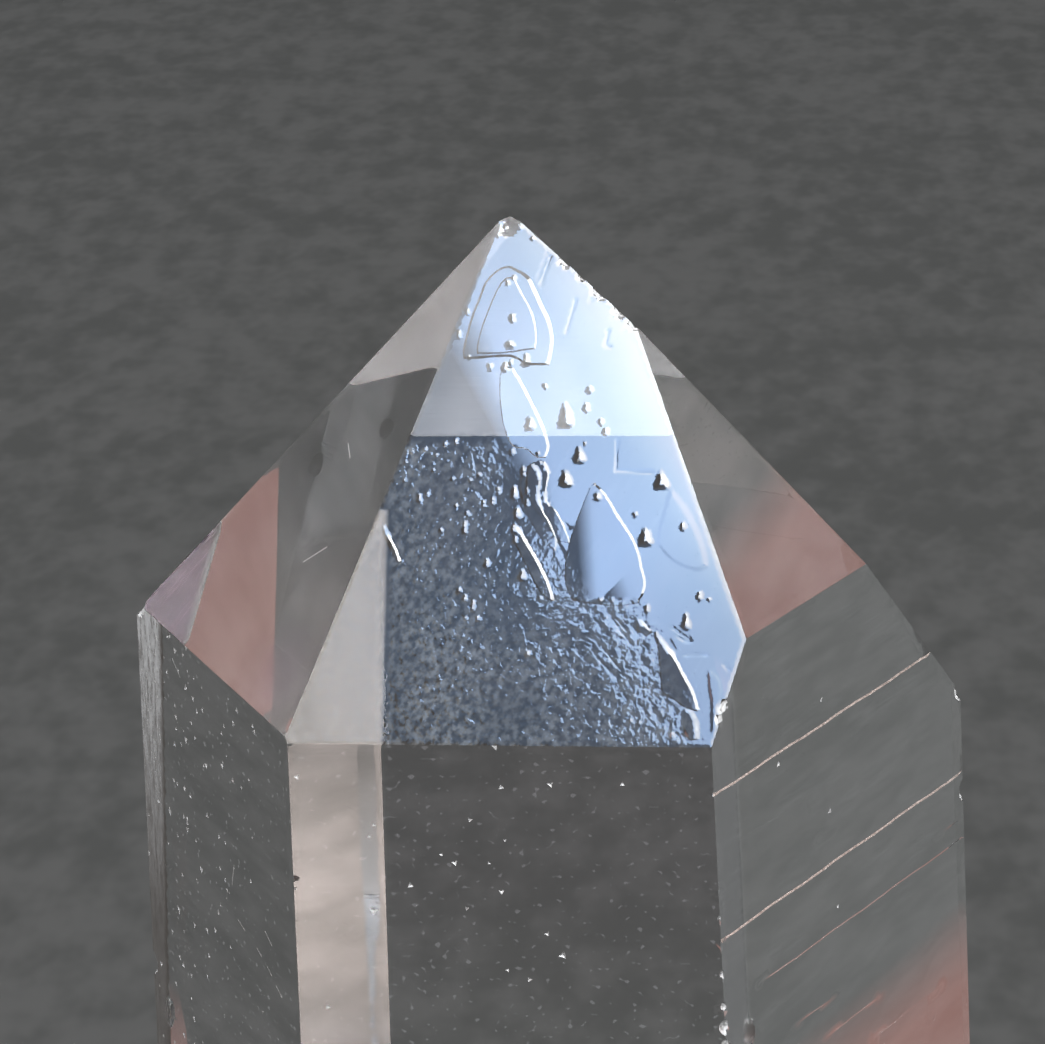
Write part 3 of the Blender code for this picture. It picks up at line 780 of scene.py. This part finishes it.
def clear_lines(relief, outline):
    """The relief's lines that stay clear of the face's edge: their ends, and the pairs that
    they join."""
    ends, pairs = {}, []
    lines = [line for item in relief for line in item.lines()]
    if lines:
        both = np.array(lines).reshape(-1, 2)
        gap = to_segments(both, *sides_of(outline))[0]
        clear = is_inside(both, outline) & (gap > LINE_MARGIN)
        for i in range(0, len(both), 2):
            if clear[i] and clear[i + 1]:
                keys = [tuple(np.round(both[k], 4)) for k in (i, i + 1)]
                if keys[0] != keys[1]:
                    pairs.append([ends.setdefault(key, len(ends)) for key in keys])
    return np.array(list(ends)).reshape(-1, 2), pairs


def waviness(face, uv):
    """The long, low waves of a natural face, and the etched area low on the tip's front."""
    result = np.zeros(len(uv))
    if face == FOOT:
        return result
    wave = WAVE_TIP if face in TIP_FACES else WAVE_PRISM
    for i, (u, v) in enumerate(uv):
        place = Vector((u * WAVE_REPEATS, v * WAVE_REPEATS, seed_of(face)))
        result[i] = wave * noise.noise(place)
        if face == "tip_front":
            result[i] += mottle(u, v)
    return result


def etching(u, v):
    """How strongly tip_front is etched: 1 on its lower left, 0 elsewhere."""
    # How far the place is beyond the etched area's right edge, which bends outwards at its foot.
    beyond = (u - 0.43) * 0.90 + (v - 7.32) * 0.436
    if v < 1.5:
        beyond = min(beyond, (u - 5.3) * 0.92 + (v - 1.5) * 0.39)
    beyond += 0.5 * noise.noise(Vector((u * 0.6, v * 0.6, 5.0)))
    left, below = max(0.0, 0.4 - beyond * 0.9), max(0.0, (7.3 - v) / 0.4)
    # The lower left corner is nearly smooth, and the rest is etched in patches.
    corner = min(1.0, max(0.12, (u + 3.35) / 0.15)) if v < 4.6 else 1.0
    patch = 0.85 + 0.9 * noise.noise(Vector((u * 0.45, v * 0.45, 8.0)))
    patch *= 1.0 - 0.45 * math.exp(-(((v - 3.6) / 1.6) ** 2))
    return min(1.0, left) * min(1.0, below) * corner * min(1.0, max(0.2, patch))


def mottle(u, v):
    """Fine etching on the lower left of tip_front."""
    strength = etching(u, v)
    if strength == 0.0:
        return 0.0
    coarse = noise.noise(Vector((u * 3.6, v * 3.9, 1.0)))
    fine = noise.noise(Vector((u * 7.0, v * 7.5, 2.0)))
    return MOTTLE_DEPTH * strength * (coarse + 0.55 * fine)


def grain_place(face, uv):
    """Places for the materials' patterns in millimetres, x along the face's fine growth lines."""
    angle = math.radians(GRAIN.get(face, 0.0))
    along = uv @ np.array([math.cos(angle), math.sin(angle)])
    across = uv @ np.array([-math.sin(angle), math.cos(angle)])
    return np.stack([along, across, np.full(len(uv), 31.0 * seed_of(face))], 1)


# What the marks tell the materials at each place. On tip_front the first is how strongly it is
# etched and the last is its veil, which also carries a painted beige reflection; on tip_front_left
# and prism_front the last is a painted mauve reflection, and on the frosted strip the last is its
# frost.
VEIL, LINES, SPECKS, PAINTED_REFLECTION_AND_FROST = range(4)
LINES_ON = {"tip_front": 0.15, "tip_front_left": 0.05, "tip_front_right": 0.12,
            "prism_front": 0.05, "prism_front_right": 0.2, FOOT: 0.0}
LINES_ELSEWHERE = 0.1
SPECKS_ON = {"prism_front": 0.4, "prism_front_left": 1.0}


def marks_of(face, uv):
    """How strong each of the four marks is at each place of a face."""
    u, v = uv[:, 0], uv[:, 1]
    marks = np.zeros((len(uv), 4))
    marks[:, LINES] = LINES_ON.get(face, LINES_ELSEWHERE)
    marks[:, SPECKS] = SPECKS_ON.get(face, 0.0) * ramp_up(v, -24.0, 3.0)
    if face == "tip_front":
        marks[:, VEIL] = [etching(*place) for place in uv]
        marks[:, VEIL] *= 1.0 + 0.5 * ramp_up(-u, 0.0, 3.0)
        # The left triangle: a veil of haze that also carries a painted beige reflection.
        marks[:, PAINTED_REFLECTION_AND_FROST] = ramp_up(-u, 3.35, 0.08) * ramp_up(-v, -4.75, 0.1)
    elif face == "tip_front_left":
        # Streaks in the middle, and a painted mauve reflection at the left tip and in the lower
        # corner.
        left_tip = ramp_up(-(u + 2.65) - (v - 0.05) * 0.604, 0.0, 0.2)
        corner = np.clip(1.25 - np.hypot((u - 5.6) / 2.6, (v + 1.9) / 2.2), 0, 1)
        marks[:, LINES] += 0.7 * np.exp(-(((u - 3.2) / 2.2) ** 2) - ((v - 2.2) / 3.0) ** 2)
        marks[:, LINES] += 3.0 * left_tip
        marks[:, VEIL] = 0.035 * np.clip(1.6 * corner - 0.6, 0, 1)
        marks[:, PAINTED_REFLECTION_AND_FROST] = np.maximum(0.9 * left_tip, 0.55 * corner)
    elif face == "prism_front":
        # A painted mauve reflection on the face right of u -3.3, fading in above v -14.
        marks[:, PAINTED_REFLECTION_AND_FROST] = 0.28 * ramp_up(u, -3.3, 0.1) * ramp_up(v, -14.0, 6.0)
    elif face == "prism_front_left":
        # The strip's right edge leans over as it goes down, and its frost fades.
        strip = -2.81 + (v + 2.55) * 0.065 - u
        marks[:, PAINTED_REFLECTION_AND_FROST] = ramp_up(strip, 0.0, 0.25) * np.clip(1.35 + 0.082 * v, 0.15, 1.05)
    elif face == "prism_front_right":
        marks[:, VEIL] = 0.039 * ramp_up(-u, 6.3, 0.2) * ramp_up(v, -27.0, 4.0)
    return marks


def make_crystal():
    skin = Skin()
    places = skin.carve(np.array(skin.points))
    places[:, 2] = np.maximum(places[:, 2], 0.0)  # the foot stands flat
    places = places * MM - np.array(foot_middle())
    mesh = bpy.data.meshes.new("clear_quartz_point")
    mesh.from_pydata(places.tolist(), [], skin.triangles)
    mesh.update()
    mesh.materials.append(clear_material())
    mesh.materials.append(etched_material())
    mesh.materials.append(frosted_material())
    mesh.materials.append(broken_material("broken_quartz", (0.95, 0.92, 0.89)))
    mesh.materials.append(sawn_material())
    mesh.materials.append(broken_material("worn_quartz", (0.66, 0.52, 0.45)))
    mesh.polygons.foreach_set("material_index", skin.material)
    grain = mesh.attributes.new("grain", "FLOAT_VECTOR", "CORNER")
    grain.data.foreach_set("vector", np.concatenate(skin.grain).astype(np.float32).ravel())
    marks = mesh.attributes.new("marks", "FLOAT_COLOR", "CORNER")
    marks.data.foreach_set("color", np.concatenate(skin.marks).astype(np.float32).ravel())
    crystal = bpy.data.objects.new("clear_quartz_point", mesh)
    bpy.context.collection.objects.link(crystal)
    mesh.shade_smooth()
    mesh.set_sharp_from_angle(angle=math.radians(SHARP_ANGLE))
    return crystal


# ---------------------------------------------------------------- materials
QUARTZ_IOR = 1.544
ETCH_BUMP = 0.0000032  # metres
HAZE_ROUGH = 1.2  # roughness of a surface that scatters all light, and in proportion below that
DEPTH_COLOUR, DEPTH_DENSITY = (0.95, 0.93, 0.915), 10.0  # the faint tint of thick quartz
CLEAR_WATER = (1.0, 1.0, 1.0)
# A mauve painted into some clear faces' colour to stand in for warm light they reflect: painted
# reflection.
PAINTED_REFLECTION_MAUVE = (0.42, 0.27, 0.35)


class Nodes:
    """A node tree under construction, with short ways to add the nodes that patterns use."""

    def __init__(self, owner):
        owner.use_nodes = True
        self.owner, self.tree = owner, owner.node_tree

    def add(self, kind, **settings):
        node = self.tree.nodes.new(kind)
        for name, value in settings.items():
            setattr(node, name, value)
        return node

    def join(self, source, target):
        self.tree.links.new(source, target)

    def put(self, value, socket):
        """Sets a socket to a number, or links it to another socket."""
        if isinstance(value, (int, float)):
            socket.default_value = value
        else:
            self.join(value, socket)

    def attribute(self, name):
        return self.add("ShaderNodeAttribute", attribute_name=name)

    def math(self, operation, a, b, clamp=False):
        node = self.add("ShaderNodeMath", operation=operation, use_clamp=clamp)
        self.put(a, node.inputs[0])
        self.put(b, node.inputs[1])
        return node.outputs[0]

    def plus(self, a, b):
        return self.math("ADD", a, b)

    def times(self, a, b):
        return self.math("MULTIPLY", a, b)

    def noise(self, place, stretch, detail=2.0, shift=0.0):
        """Noise from 0 to 1, with stretch as its repeats for each unit of place."""
        mapping = self.add("ShaderNodeMapping")
        mapping.inputs["Scale"].default_value = stretch
        mapping.inputs["Location"].default_value = (shift, shift, shift)
        self.join(place, mapping.inputs["Vector"])
        texture = self.add("ShaderNodeTexNoise")
        texture.inputs["Scale"].default_value = 1.0
        texture.inputs["Detail"].default_value = detail
        texture.inputs["Roughness"].default_value = 0.6
        self.join(mapping.outputs["Vector"], texture.inputs["Vector"])
        return texture.outputs["Fac"]

    def between(self, value, low, high, top=1.0):
        """Rises from 0 to top as value goes from low to high."""
        node = self.add("ShaderNodeMapRange", interpolation_type="SMOOTHSTEP")
        self.join(value, node.inputs["Value"])
        node.inputs["From Min"].default_value = low
        node.inputs["From Max"].default_value = high
        node.inputs["To Max"].default_value = top
        return node.outputs["Result"]

    def two_colours(self, factor, a, b):
        node = self.add("ShaderNodeMix", data_type="RGBA")
        self.join(factor, node.inputs["Factor"])
        node.inputs["A"].default_value = (*a, 1.0)
        node.inputs["B"].default_value = (*b, 1.0)
        return node.outputs["Result"]

    def bump(self, height, distance, strength=1.0):
        node = self.add("ShaderNodeBump")
        node.inputs["Distance"].default_value = distance
        self.put(strength, node.inputs["Strength"])
        self.join(height, node.inputs["Height"])
        return node.outputs["Normal"]

    def ramp(self, value, stops):
        """A colour that runs through stops: a place from 0 to 1, and a colour or a grey."""
        node = self.add("ShaderNodeValToRGB")
        elements = node.color_ramp.elements
        for place, _ in stops[1:-1]:
            elements.new(place)
        elements[0].position, elements[-1].position = stops[0][0], stops[-1][0]
        for element, (_, colour) in zip(elements, stops):
            element.color = (*(colour if isinstance(colour, tuple) else (colour,) * 3), 1.0)
        self.join(value, node.inputs["Fac"])
        return node.outputs["Color"]

    def both_colours(self, a, b):
        """One colour times another."""
        node = self.add("ShaderNodeVectorMath", operation="MULTIPLY")
        self.join(a, node.inputs[0])
        self.join(b, node.inputs[1])
        return node.outputs["Vector"]


def new_material(name):
    """A material's nodes, its shader and its output."""
    nodes = Nodes(bpy.data.materials.new(name))
    nodes.tree.nodes.clear()
    shader = nodes.add("ShaderNodeBsdfPrincipled")
    output = nodes.add("ShaderNodeOutputMaterial")
    nodes.join(shader.outputs["BSDF"], output.inputs["Surface"])
    return nodes, shader, output


def quartz(name):
    """Clear quartz, with its surface still to be told, and where its patterns lie and the four
    marks that say how strong they are."""
    nodes, shader, output = new_material(name)
    shader.inputs["Base Color"].default_value = (*CLEAR_WATER, 1.0)
    shader.inputs["IOR"].default_value = QUARTZ_IOR
    absorption = nodes.add("ShaderNodeVolumeAbsorption")
    absorption.inputs["Color"].default_value = (*DEPTH_COLOUR, 1.0)
    absorption.inputs["Density"].default_value = DEPTH_DENSITY
    nodes.join(absorption.outputs["Volume"], output.inputs["Volume"])
    marks = nodes.attribute("marks")
    split = nodes.add("ShaderNodeSeparateColor")
    nodes.join(marks.outputs["Color"], split.inputs["Color"])
    strengths = (*split.outputs, marks.outputs["Alpha"])
    return nodes, shader, nodes.attribute("grain").outputs["Vector"], strengths


def set_haze(nodes, shader, haze):
    """haze is the share of the light that a surface scatters."""
    nodes.join(nodes.math("SUBTRACT", 1.0, haze), shader.inputs["Transmission Weight"])
    nodes.join(nodes.times(haze, HAZE_ROUGH), shader.inputs["Roughness"])


def clear_material():
    """Clear faces, with fine growth lines, specks of dust, and a painted mauve reflection where the
    marks ask for it.
    """
    nodes, shader, place, (veil, lines, specks, painted_reflection) = quartz("clear_quartz")
    # Mixes in the painted mauve reflection where the marks ask for it.
    nodes.join(nodes.two_colours(painted_reflection, CLEAR_WATER, PAINTED_REFLECTION_MAUVE), shader.inputs["Base Color"])
    band = nodes.between(nodes.noise(place, (0.45, 0.8, 1.0), 0.0, 3.0), 0.36, 0.66)
    line = nodes.between(nodes.noise(place, (0.5, 10.0, 1.0), 2.0, 1.0), 0.42, 0.64, 0.05)
    speck = nodes.between(nodes.noise(place, (4.0, 4.6, 1.0), 0.0, 9.0), 0.70, 0.80, 0.11)
    haze = nodes.plus(nodes.times(lines, nodes.times(band, line)), nodes.times(specks, speck))
    set_haze(nodes, shader, nodes.plus(haze, veil))
    return nodes.owner


def etched_material():
    """The tip's front, finely etched on its lower left, with a plain veil on its left triangle. Its
    bluish white is a painted reflection, and so is the beige of the left triangle.
    """
    nodes, shader, place, (etching, lines, _, veil) = quartz("etched_quartz")
    # Painted reflection: bluish white over the face, and beige on the veiled left triangle.
    colour = nodes.two_colours(veil, (0.90, 0.95, 1.0), (1.0, 0.92, 0.84))
    nodes.join(colour, shader.inputs["Base Color"])
    coarse = nodes.between(nodes.noise(place, (3.6, 4.2, 1.0), 1.0), 0.40, 0.85, 0.8)
    fine = nodes.noise(place, (8.5, 9.5, 1.0), 1.0, 4.0)
    grains = nodes.plus(coarse, nodes.times(fine, 0.36))
    nodes.join(nodes.bump(grains, ETCH_BUMP, etching), shader.inputs["Normal"])
    cloud = nodes.between(nodes.noise(place, (3.2, 3.6, 1.0), 3.0, 7.0), 0.36, 0.68, 0.042)
    line = nodes.between(nodes.noise(place, (0.5, 9.0, 1.0), 1.0, 1.0), 0.52, 0.74, 0.05)
    haze = nodes.plus(nodes.times(etching, cloud), nodes.times(lines, line))
    veiled = nodes.times(veil, nodes.plus(nodes.times(cloud, 0.5), 0.072))
    set_haze(nodes, shader, nodes.plus(haze, veiled))
    return nodes.owner


def frosted_material():
    """A dull strip with streaks up and down the crystal."""
    nodes, shader, place, (_, _, _, frost) = quartz("frosted_quartz")
    streak = nodes.between(nodes.noise(place, (5.5, 0.8, 1.0), 3.0, 5.0), 0.10, 0.75, 0.50)
    grain = nodes.noise(place, (7.0, 6.0, 1.0), 2.0, 2.0)
    streaky = nodes.times(streak, nodes.between(grain, -0.3, 0.7))
    set_haze(nodes, shader, nodes.times(frost, streaky))
    nodes.join(nodes.bump(grain, ETCH_BUMP, frost), shader.inputs["Normal"])
    return nodes.owner


def broken_material(name, colour):
    """Chipped and worn quartz: clear inside, with a fine grained surface."""
    nodes, shader, _ = new_material(name)
    grain = nodes.noise(nodes.attribute("grain").outputs["Vector"], (9.0, 9.0, 1.0), 4.0)
    shader.inputs["Base Color"].default_value = (*colour, 1.0)
    shader.inputs["IOR"].default_value = QUARTZ_IOR
    nodes.join(nodes.plus(nodes.times(grain, 0.4), 0.2), shader.inputs["Roughness"])
    clear = nodes.math("SUBTRACT", 0.90, nodes.between(grain, 0.30, 0.70, 0.35))
    nodes.join(clear, shader.inputs["Transmission Weight"])
    nodes.join(nodes.bump(grain, 0.00003), shader.inputs["Normal"])
    return nodes.owner


def sawn_material():
    """The sawn foot, matt and pale, with the saw's fine parallel marks."""
    nodes, shader, _ = new_material("sawn_quartz")
    place = nodes.attribute("grain").outputs["Vector"]
    marks = nodes.noise(place, (0.3, 5.0, 1.0), 4.0)
    cloud = nodes.noise(place, (0.5, 0.5, 1.0), 3.0, 2.0)
    shader.inputs["IOR"].default_value = QUARTZ_IOR
    shader.inputs["Transmission Weight"].default_value = 0.85
    colour = nodes.two_colours(cloud, (0.86, 0.85, 0.84), (0.96, 0.95, 0.94))
    nodes.join(colour, shader.inputs["Base Color"])
    nodes.join(nodes.plus(nodes.times(marks, 0.3), 0.45), shader.inputs["Roughness"])
    nodes.join(nodes.bump(marks, 0.00001), shader.inputs["Normal"])
    return nodes.owner


def floor_material():
    """A pale floor with a faint mottling."""
    nodes, shader, _ = new_material("pale_floor")
    place = nodes.add("ShaderNodeTexCoord").outputs["Object"]
    mottling = nodes.noise(place, (330.0, 190.0, 330.0), 2.0)
    patches = nodes.noise(place, (45.0, 45.0, 45.0), 1.0, 3.0)
    tone = nodes.plus(nodes.times(mottling, 0.65), nodes.times(patches, 0.35))
    tone = nodes.between(tone, 0.36, 0.64)
    colour = nodes.two_colours(tone, (0.60, 0.60, 0.58), (0.80, 0.79, 0.77))
    nodes.join(colour, shader.inputs["Base Color"])
    nodes.join(nodes.plus(nodes.times(mottling, 0.3), 0.55), shader.inputs["Roughness"])
    nodes.join(nodes.bump(mottling, 0.0002), shader.inputs["Normal"])
    return nodes.owner


# ---------------------------------------------------------------- the studio
# The picture is 1045 by 1044 pixels. The crystal's axis passes AXIS_PIXEL at the shoulder, where
# PIXELS_PER_MM holds, and FOCAL_PIXELS is the lens's length in pixels.
PICTURE_WIDTH, PICTURE_HEIGHT = 1045, 1044
AXIS_PIXEL = (505.0, 520.0)
PIXELS_PER_MM = 27.6
FOCAL_PIXELS = 5000.0
SENSOR = 36.0
CAMERA_AZIMUTH, CAMERA_ELEVATION, CAMERA_ROLL = 3.85, 21.70, 1.52
FLOOR_HALF = 1.5  # half of the floor's width in metres
FLOOR_GAP = 0.02 * MM  # keeps the floor out of the foot

# The window, as the tip's front mirrors it: its colours from left to right and its brightness
# from foot to top, both as places from 0 to 1.
WINDOW_ACROSS = [
    (0.0, (0.22, 0.33, 0.53)), (0.120, (0.22, 0.33, 0.53)), (0.147, (0.25, 0.365, 0.55)),
    (0.155, (0.305, 0.42, 0.58)), (0.168, (0.43, 0.49, 0.61)), (0.22, (0.50, 0.55, 0.63)),
    (0.34, (0.95, 0.98, 1.0)), (1.0, (0.92, 0.96, 1.0))]
WINDOW_UP = [(0.0, 0.65), (0.68, 0.75), (0.75, 1.0), (0.85, 0.85), (0.93, 0.65), (1.0, 0.65)]
# A dark curtain at its left. From WINDOW_BEND down to WINDOW_FOOT its edge leans to the left.
CURTAIN = [(0.0, (0.03, 0.052, 0.062)), (0.04, (0.044, 0.076, 0.092)),
           (0.106, (0.062, 0.098, 0.122)), (0.118, 1.0), (1.0, 1.0)]
WINDOW_BEND, WINDOW_FOOT, WINDOW_LEAN = 0.80, 0.737, 0.31

# Lamps that light patches of the floor: energy, colour, angle, blend, place and target, both in
# metres. The pool lies close behind the foot, and the glow under it.
LAMPS = {
    "pool": (1.8, (1.0, 0.88, 0.85), 9.1, 0.8, (0.04, 0.10, 0.22), (0.026, 0.011, 0.0)),
    "glow": (2.2, (0.84, 0.90, 1.0), 9.0, 0.8, (0.0, 0.0, 0.24), (0.000, -0.0015, 0.0)),
    "front_patch": (0.60, (1.0, 0.90, 0.87), 6.0, 0.5, (0.02, -0.08, 0.22), (0.0085, -0.0205, 0.0)),
    "patch": (0.25, (1.0, 1.0, 1.0), 6.0, 0.8, (-0.06, 0.06, 0.22), (-0.041, 0.037, 0.0)),
}
# Soft cards behind the crystal, which it bends into view: azimuth, distance, how far the middle
# is shifted to the right and up from the foot, size, turn, radiance and colour. Metres, degrees.
CARDS = {
    "warm_left": (235.0, 0.026, (-0.0115, 0.0140), (0.015, 0.030), 0.0, 0.23, (1.0, 0.38, 0.30)),
    "warm_right": (125.0, 0.026, (0.0163, 0.0148), (0.010, 0.027), -19.8, 0.22, (1.0, 0.38, 0.30)),
    "grey_left": (235.0, 0.042, (-0.0140, 0.032), (0.016, 0.034), 0.0, 0.055, (0.93, 1.0, 1.0)),
}
CARD_FADE = [(0.0, 0.0), (0.12, 1.0), (0.86, 1.0), (1.0, 0.0)]  # from foot to top
EVEN = [(0.0, 1.0), (1.0, 1.0)]
ROOM_COLOUR, ROOM_STRENGTH = (0.9, 0.95, 1.0), 0.06


def direction(azimuth, elevation):
    """Unit vector from the crystal: azimuth 0 is the front, 90 the right."""
    a, e = math.radians(azimuth), math.radians(elevation)
    return Vector((math.sin(a) * math.cos(e), -math.cos(a) * math.cos(e), math.sin(e)))


def rightward(azimuth):
    """Unit vector to the right of someone who looks at the crystal from an azimuth."""
    return Vector((math.cos(math.radians(azimuth)), math.sin(math.radians(azimuth)), 0.0))


def make_camera():
    back, right = direction(CAMERA_AZIMUTH, CAMERA_ELEVATION), rightward(CAMERA_AZIMUTH)
    up, roll = back.cross(right), math.radians(CAMERA_ROLL)
    right, up = (right * math.cos(roll) - up * math.sin(roll),
                 right * math.sin(roll) + up * math.cos(roll))
    distance = FOCAL_PIXELS / PIXELS_PER_MM * MM
    aside = (AXIS_PIXEL[0] - PICTURE_WIDTH / 2) / FOCAL_PIXELS
    above = (PICTURE_HEIGHT / 2 - AXIS_PIXEL[1]) / FOCAL_PIXELS
    target = Vector((0.0, 0.0, SHOULDER)) - foot_middle()
    data = bpy.data.cameras.new("camera")
    data.sensor_width = SENSOR
    data.lens = SENSOR * FOCAL_PIXELS / PICTURE_WIDTH
    data.clip_start = 0.01
    camera = bpy.data.objects.new("camera", data)
    place = target + distance * (back - aside * right - above * up)
    turned = Matrix((right, up, back)).transposed().to_4x4()
    camera.matrix_world = Matrix.Translation(place) @ turned
    bpy.context.collection.objects.link(camera)
    bpy.context.scene.camera = camera


def make_floor():
    mesh = bpy.data.meshes.new("floor")
    signs = ((-1, -1), (1, -1), (1, 1), (-1, 1))
    corners = [(x * FLOOR_HALF, y * FLOOR_HALF, 0.0) for x, y in signs]
    mesh.from_pydata(corners, [], [(0, 1, 2, 3)])
    floor = bpy.data.objects.new("floor", mesh)
    floor.location.z = -FLOOR_GAP
    mesh.materials.append(floor_material())
    bpy.context.collection.objects.link(floor)
    return floor


def only_for(light, piece):
    """Makes a light shine on this object alone."""
    group = bpy.data.collections.new(light.name + "_receivers")
    group.objects.link(piece)
    light.light_linking.receiver_collection = group


def soft_box(name, azimuth, elevation, distance, size, radiance, colour=(1.0, 1.0, 1.0),
             middle=(0.0, 0.0), turn=0.0):
    """A rectangular light that faces the tip from a direction and a distance. Its radiance is how
    bright it looks in a mirror, where 1 is white. middle is how far it is shifted to the right
    and up from its direction, and turn is in degrees."""
    data = bpy.data.lights.new(name, "AREA")
    data.shape = "RECTANGLE"
    data.size, data.size_y = size
    data.energy = radiance * math.pi * data.size * data.size_y
    data.color = colour
    light = bpy.data.objects.new(name, data)
    away, right = direction(azimuth, elevation), rightward(azimuth)
    place = Matrix((right, away.cross(right), away)).transposed().to_4x4()
    place.translation = Vector((0.0, 0.0, SHOULDER)) + away * distance - foot_middle()
    shift = Matrix.Translation(Vector((*middle, 0.0)))
    light.matrix_world = place @ shift @ Matrix.Rotation(math.radians(turn), 4, "Z")
    light.visible_camera = False
    bpy.context.collection.objects.link(light)
    return light


def grade(light, across, up, curtain=None):
    """Varies a light's colour from its left edge to its right edge, and from its foot to its
    top. A curtain's stops run across too, but its edge leans as WINDOW_BEND says."""
    nodes = Nodes(light.data)
    place = nodes.add("ShaderNodeSeparateXYZ")
    nodes.join(nodes.add("ShaderNodeNewGeometry").outputs["Parametric"], place.inputs["Vector"])
    x, y = place.outputs["X"], place.outputs["Y"]
    colour = nodes.both_colours(nodes.ramp(x, across), nodes.ramp(y, up))
    if curtain:
        below = nodes.math("SUBTRACT", WINDOW_BEND, y, clamp=True)
        bent = nodes.times(below, nodes.math("GREATER_THAN", y, WINDOW_FOOT))
        leaning = nodes.plus(x, nodes.times(bent, WINDOW_LEAN))
        colour = nodes.both_colours(colour, nodes.ramp(leaning, curtain))
    nodes.join(colour, nodes.tree.nodes["Emission"].inputs["Color"])


def add_lamp(name, energy, colour, angle, blend, place, target):
    """A spot lamp that aims at a target."""
    spot = bpy.data.lights.new(name, "SPOT")
    spot.energy = energy
    spot.color = colour
    spot.shadow_soft_size = 0.01
    spot.spot_size = math.radians(angle)
    spot.spot_blend = blend
    lamp = bpy.data.objects.new(name, spot)
    lamp.location = place
    lamp.rotation_mode = "QUATERNION"
    lamp.rotation_quaternion = (lamp.location - Vector(target)).to_track_quat("Z", "Y")
    lamp.visible_camera = False
    bpy.context.collection.objects.link(lamp)
    return lamp


def make_lights(crystal, floor):
    window = soft_box("window", 25.0, 48.0, 0.30, (0.26, 0.18), 34.0,
                      middle=(0.010, 0.010), turn=11.0)
    grade(window, WINDOW_ACROSS, WINDOW_UP, CURTAIN)
    only_for(window, crystal)

    soft_box("overhead", 20.0, 72.0, 1.0, (0.50, 0.50), 1.55)

    # Lights frost, specks and chips alone: clear faces neither mirror it nor show it behind them.
    fill = soft_box("fill", -50.0, 30.0, 0.45, (0.25, 0.25), 9.0)
    fill.visible_glossy = False
    fill.visible_transmission = False
    only_for(fill, crystal)

    # The crystal casts no shadow in the patches of light.
    for name, values in LAMPS.items():
        lamp = add_lamp(name, *values)
        only_for(lamp, floor)
        lamp.light_linking.blocker_collection = lamp.light_linking.receiver_collection

    low_front = soft_box("low_front", 353.0, 37.5, 0.35, (0.05, 0.05), 0.80, (1.0, 0.80, 0.68))
    only_for(low_front, crystal)

    for name, (azimuth, distance, (aside, above), size, turn, radiance, colour) in CARDS.items():
        middle = (aside, above - SHOULDER)
        card = soft_box(name, azimuth, 0.0, distance, size, radiance, colour, middle, turn)
        grade(card, EVEN, CARD_FADE)
        only_for(card, crystal)

    world = bpy.data.worlds.new("room")
    world.use_nodes = True
    background = world.node_tree.nodes["Background"]
    background.inputs["Color"].default_value = (*ROOM_COLOUR, 1.0)
    background.inputs["Strength"].default_value = ROOM_STRENGTH
    bpy.context.scene.world = world


def set_light_paths():
    """Enough bounces for light that is turned back inside the crystal many times, and colours
    as they are, with no film-like toning."""
    cycles = bpy.context.scene.cycles
    cycles.max_bounces = 15
    cycles.glossy_bounces = 14
    cycles.transmission_bounces = 14
    cycles.diffuse_bounces = 2
    cycles.caustics_reflective = False
    cycles.caustics_refractive = False
    bpy.context.scene.view_settings.view_transform = "Standard"


crystal = make_crystal()
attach(crystal, "root")
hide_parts(NODE)
make_camera()
floor = make_floor()
make_lights(crystal, floor)
set_light_paths()
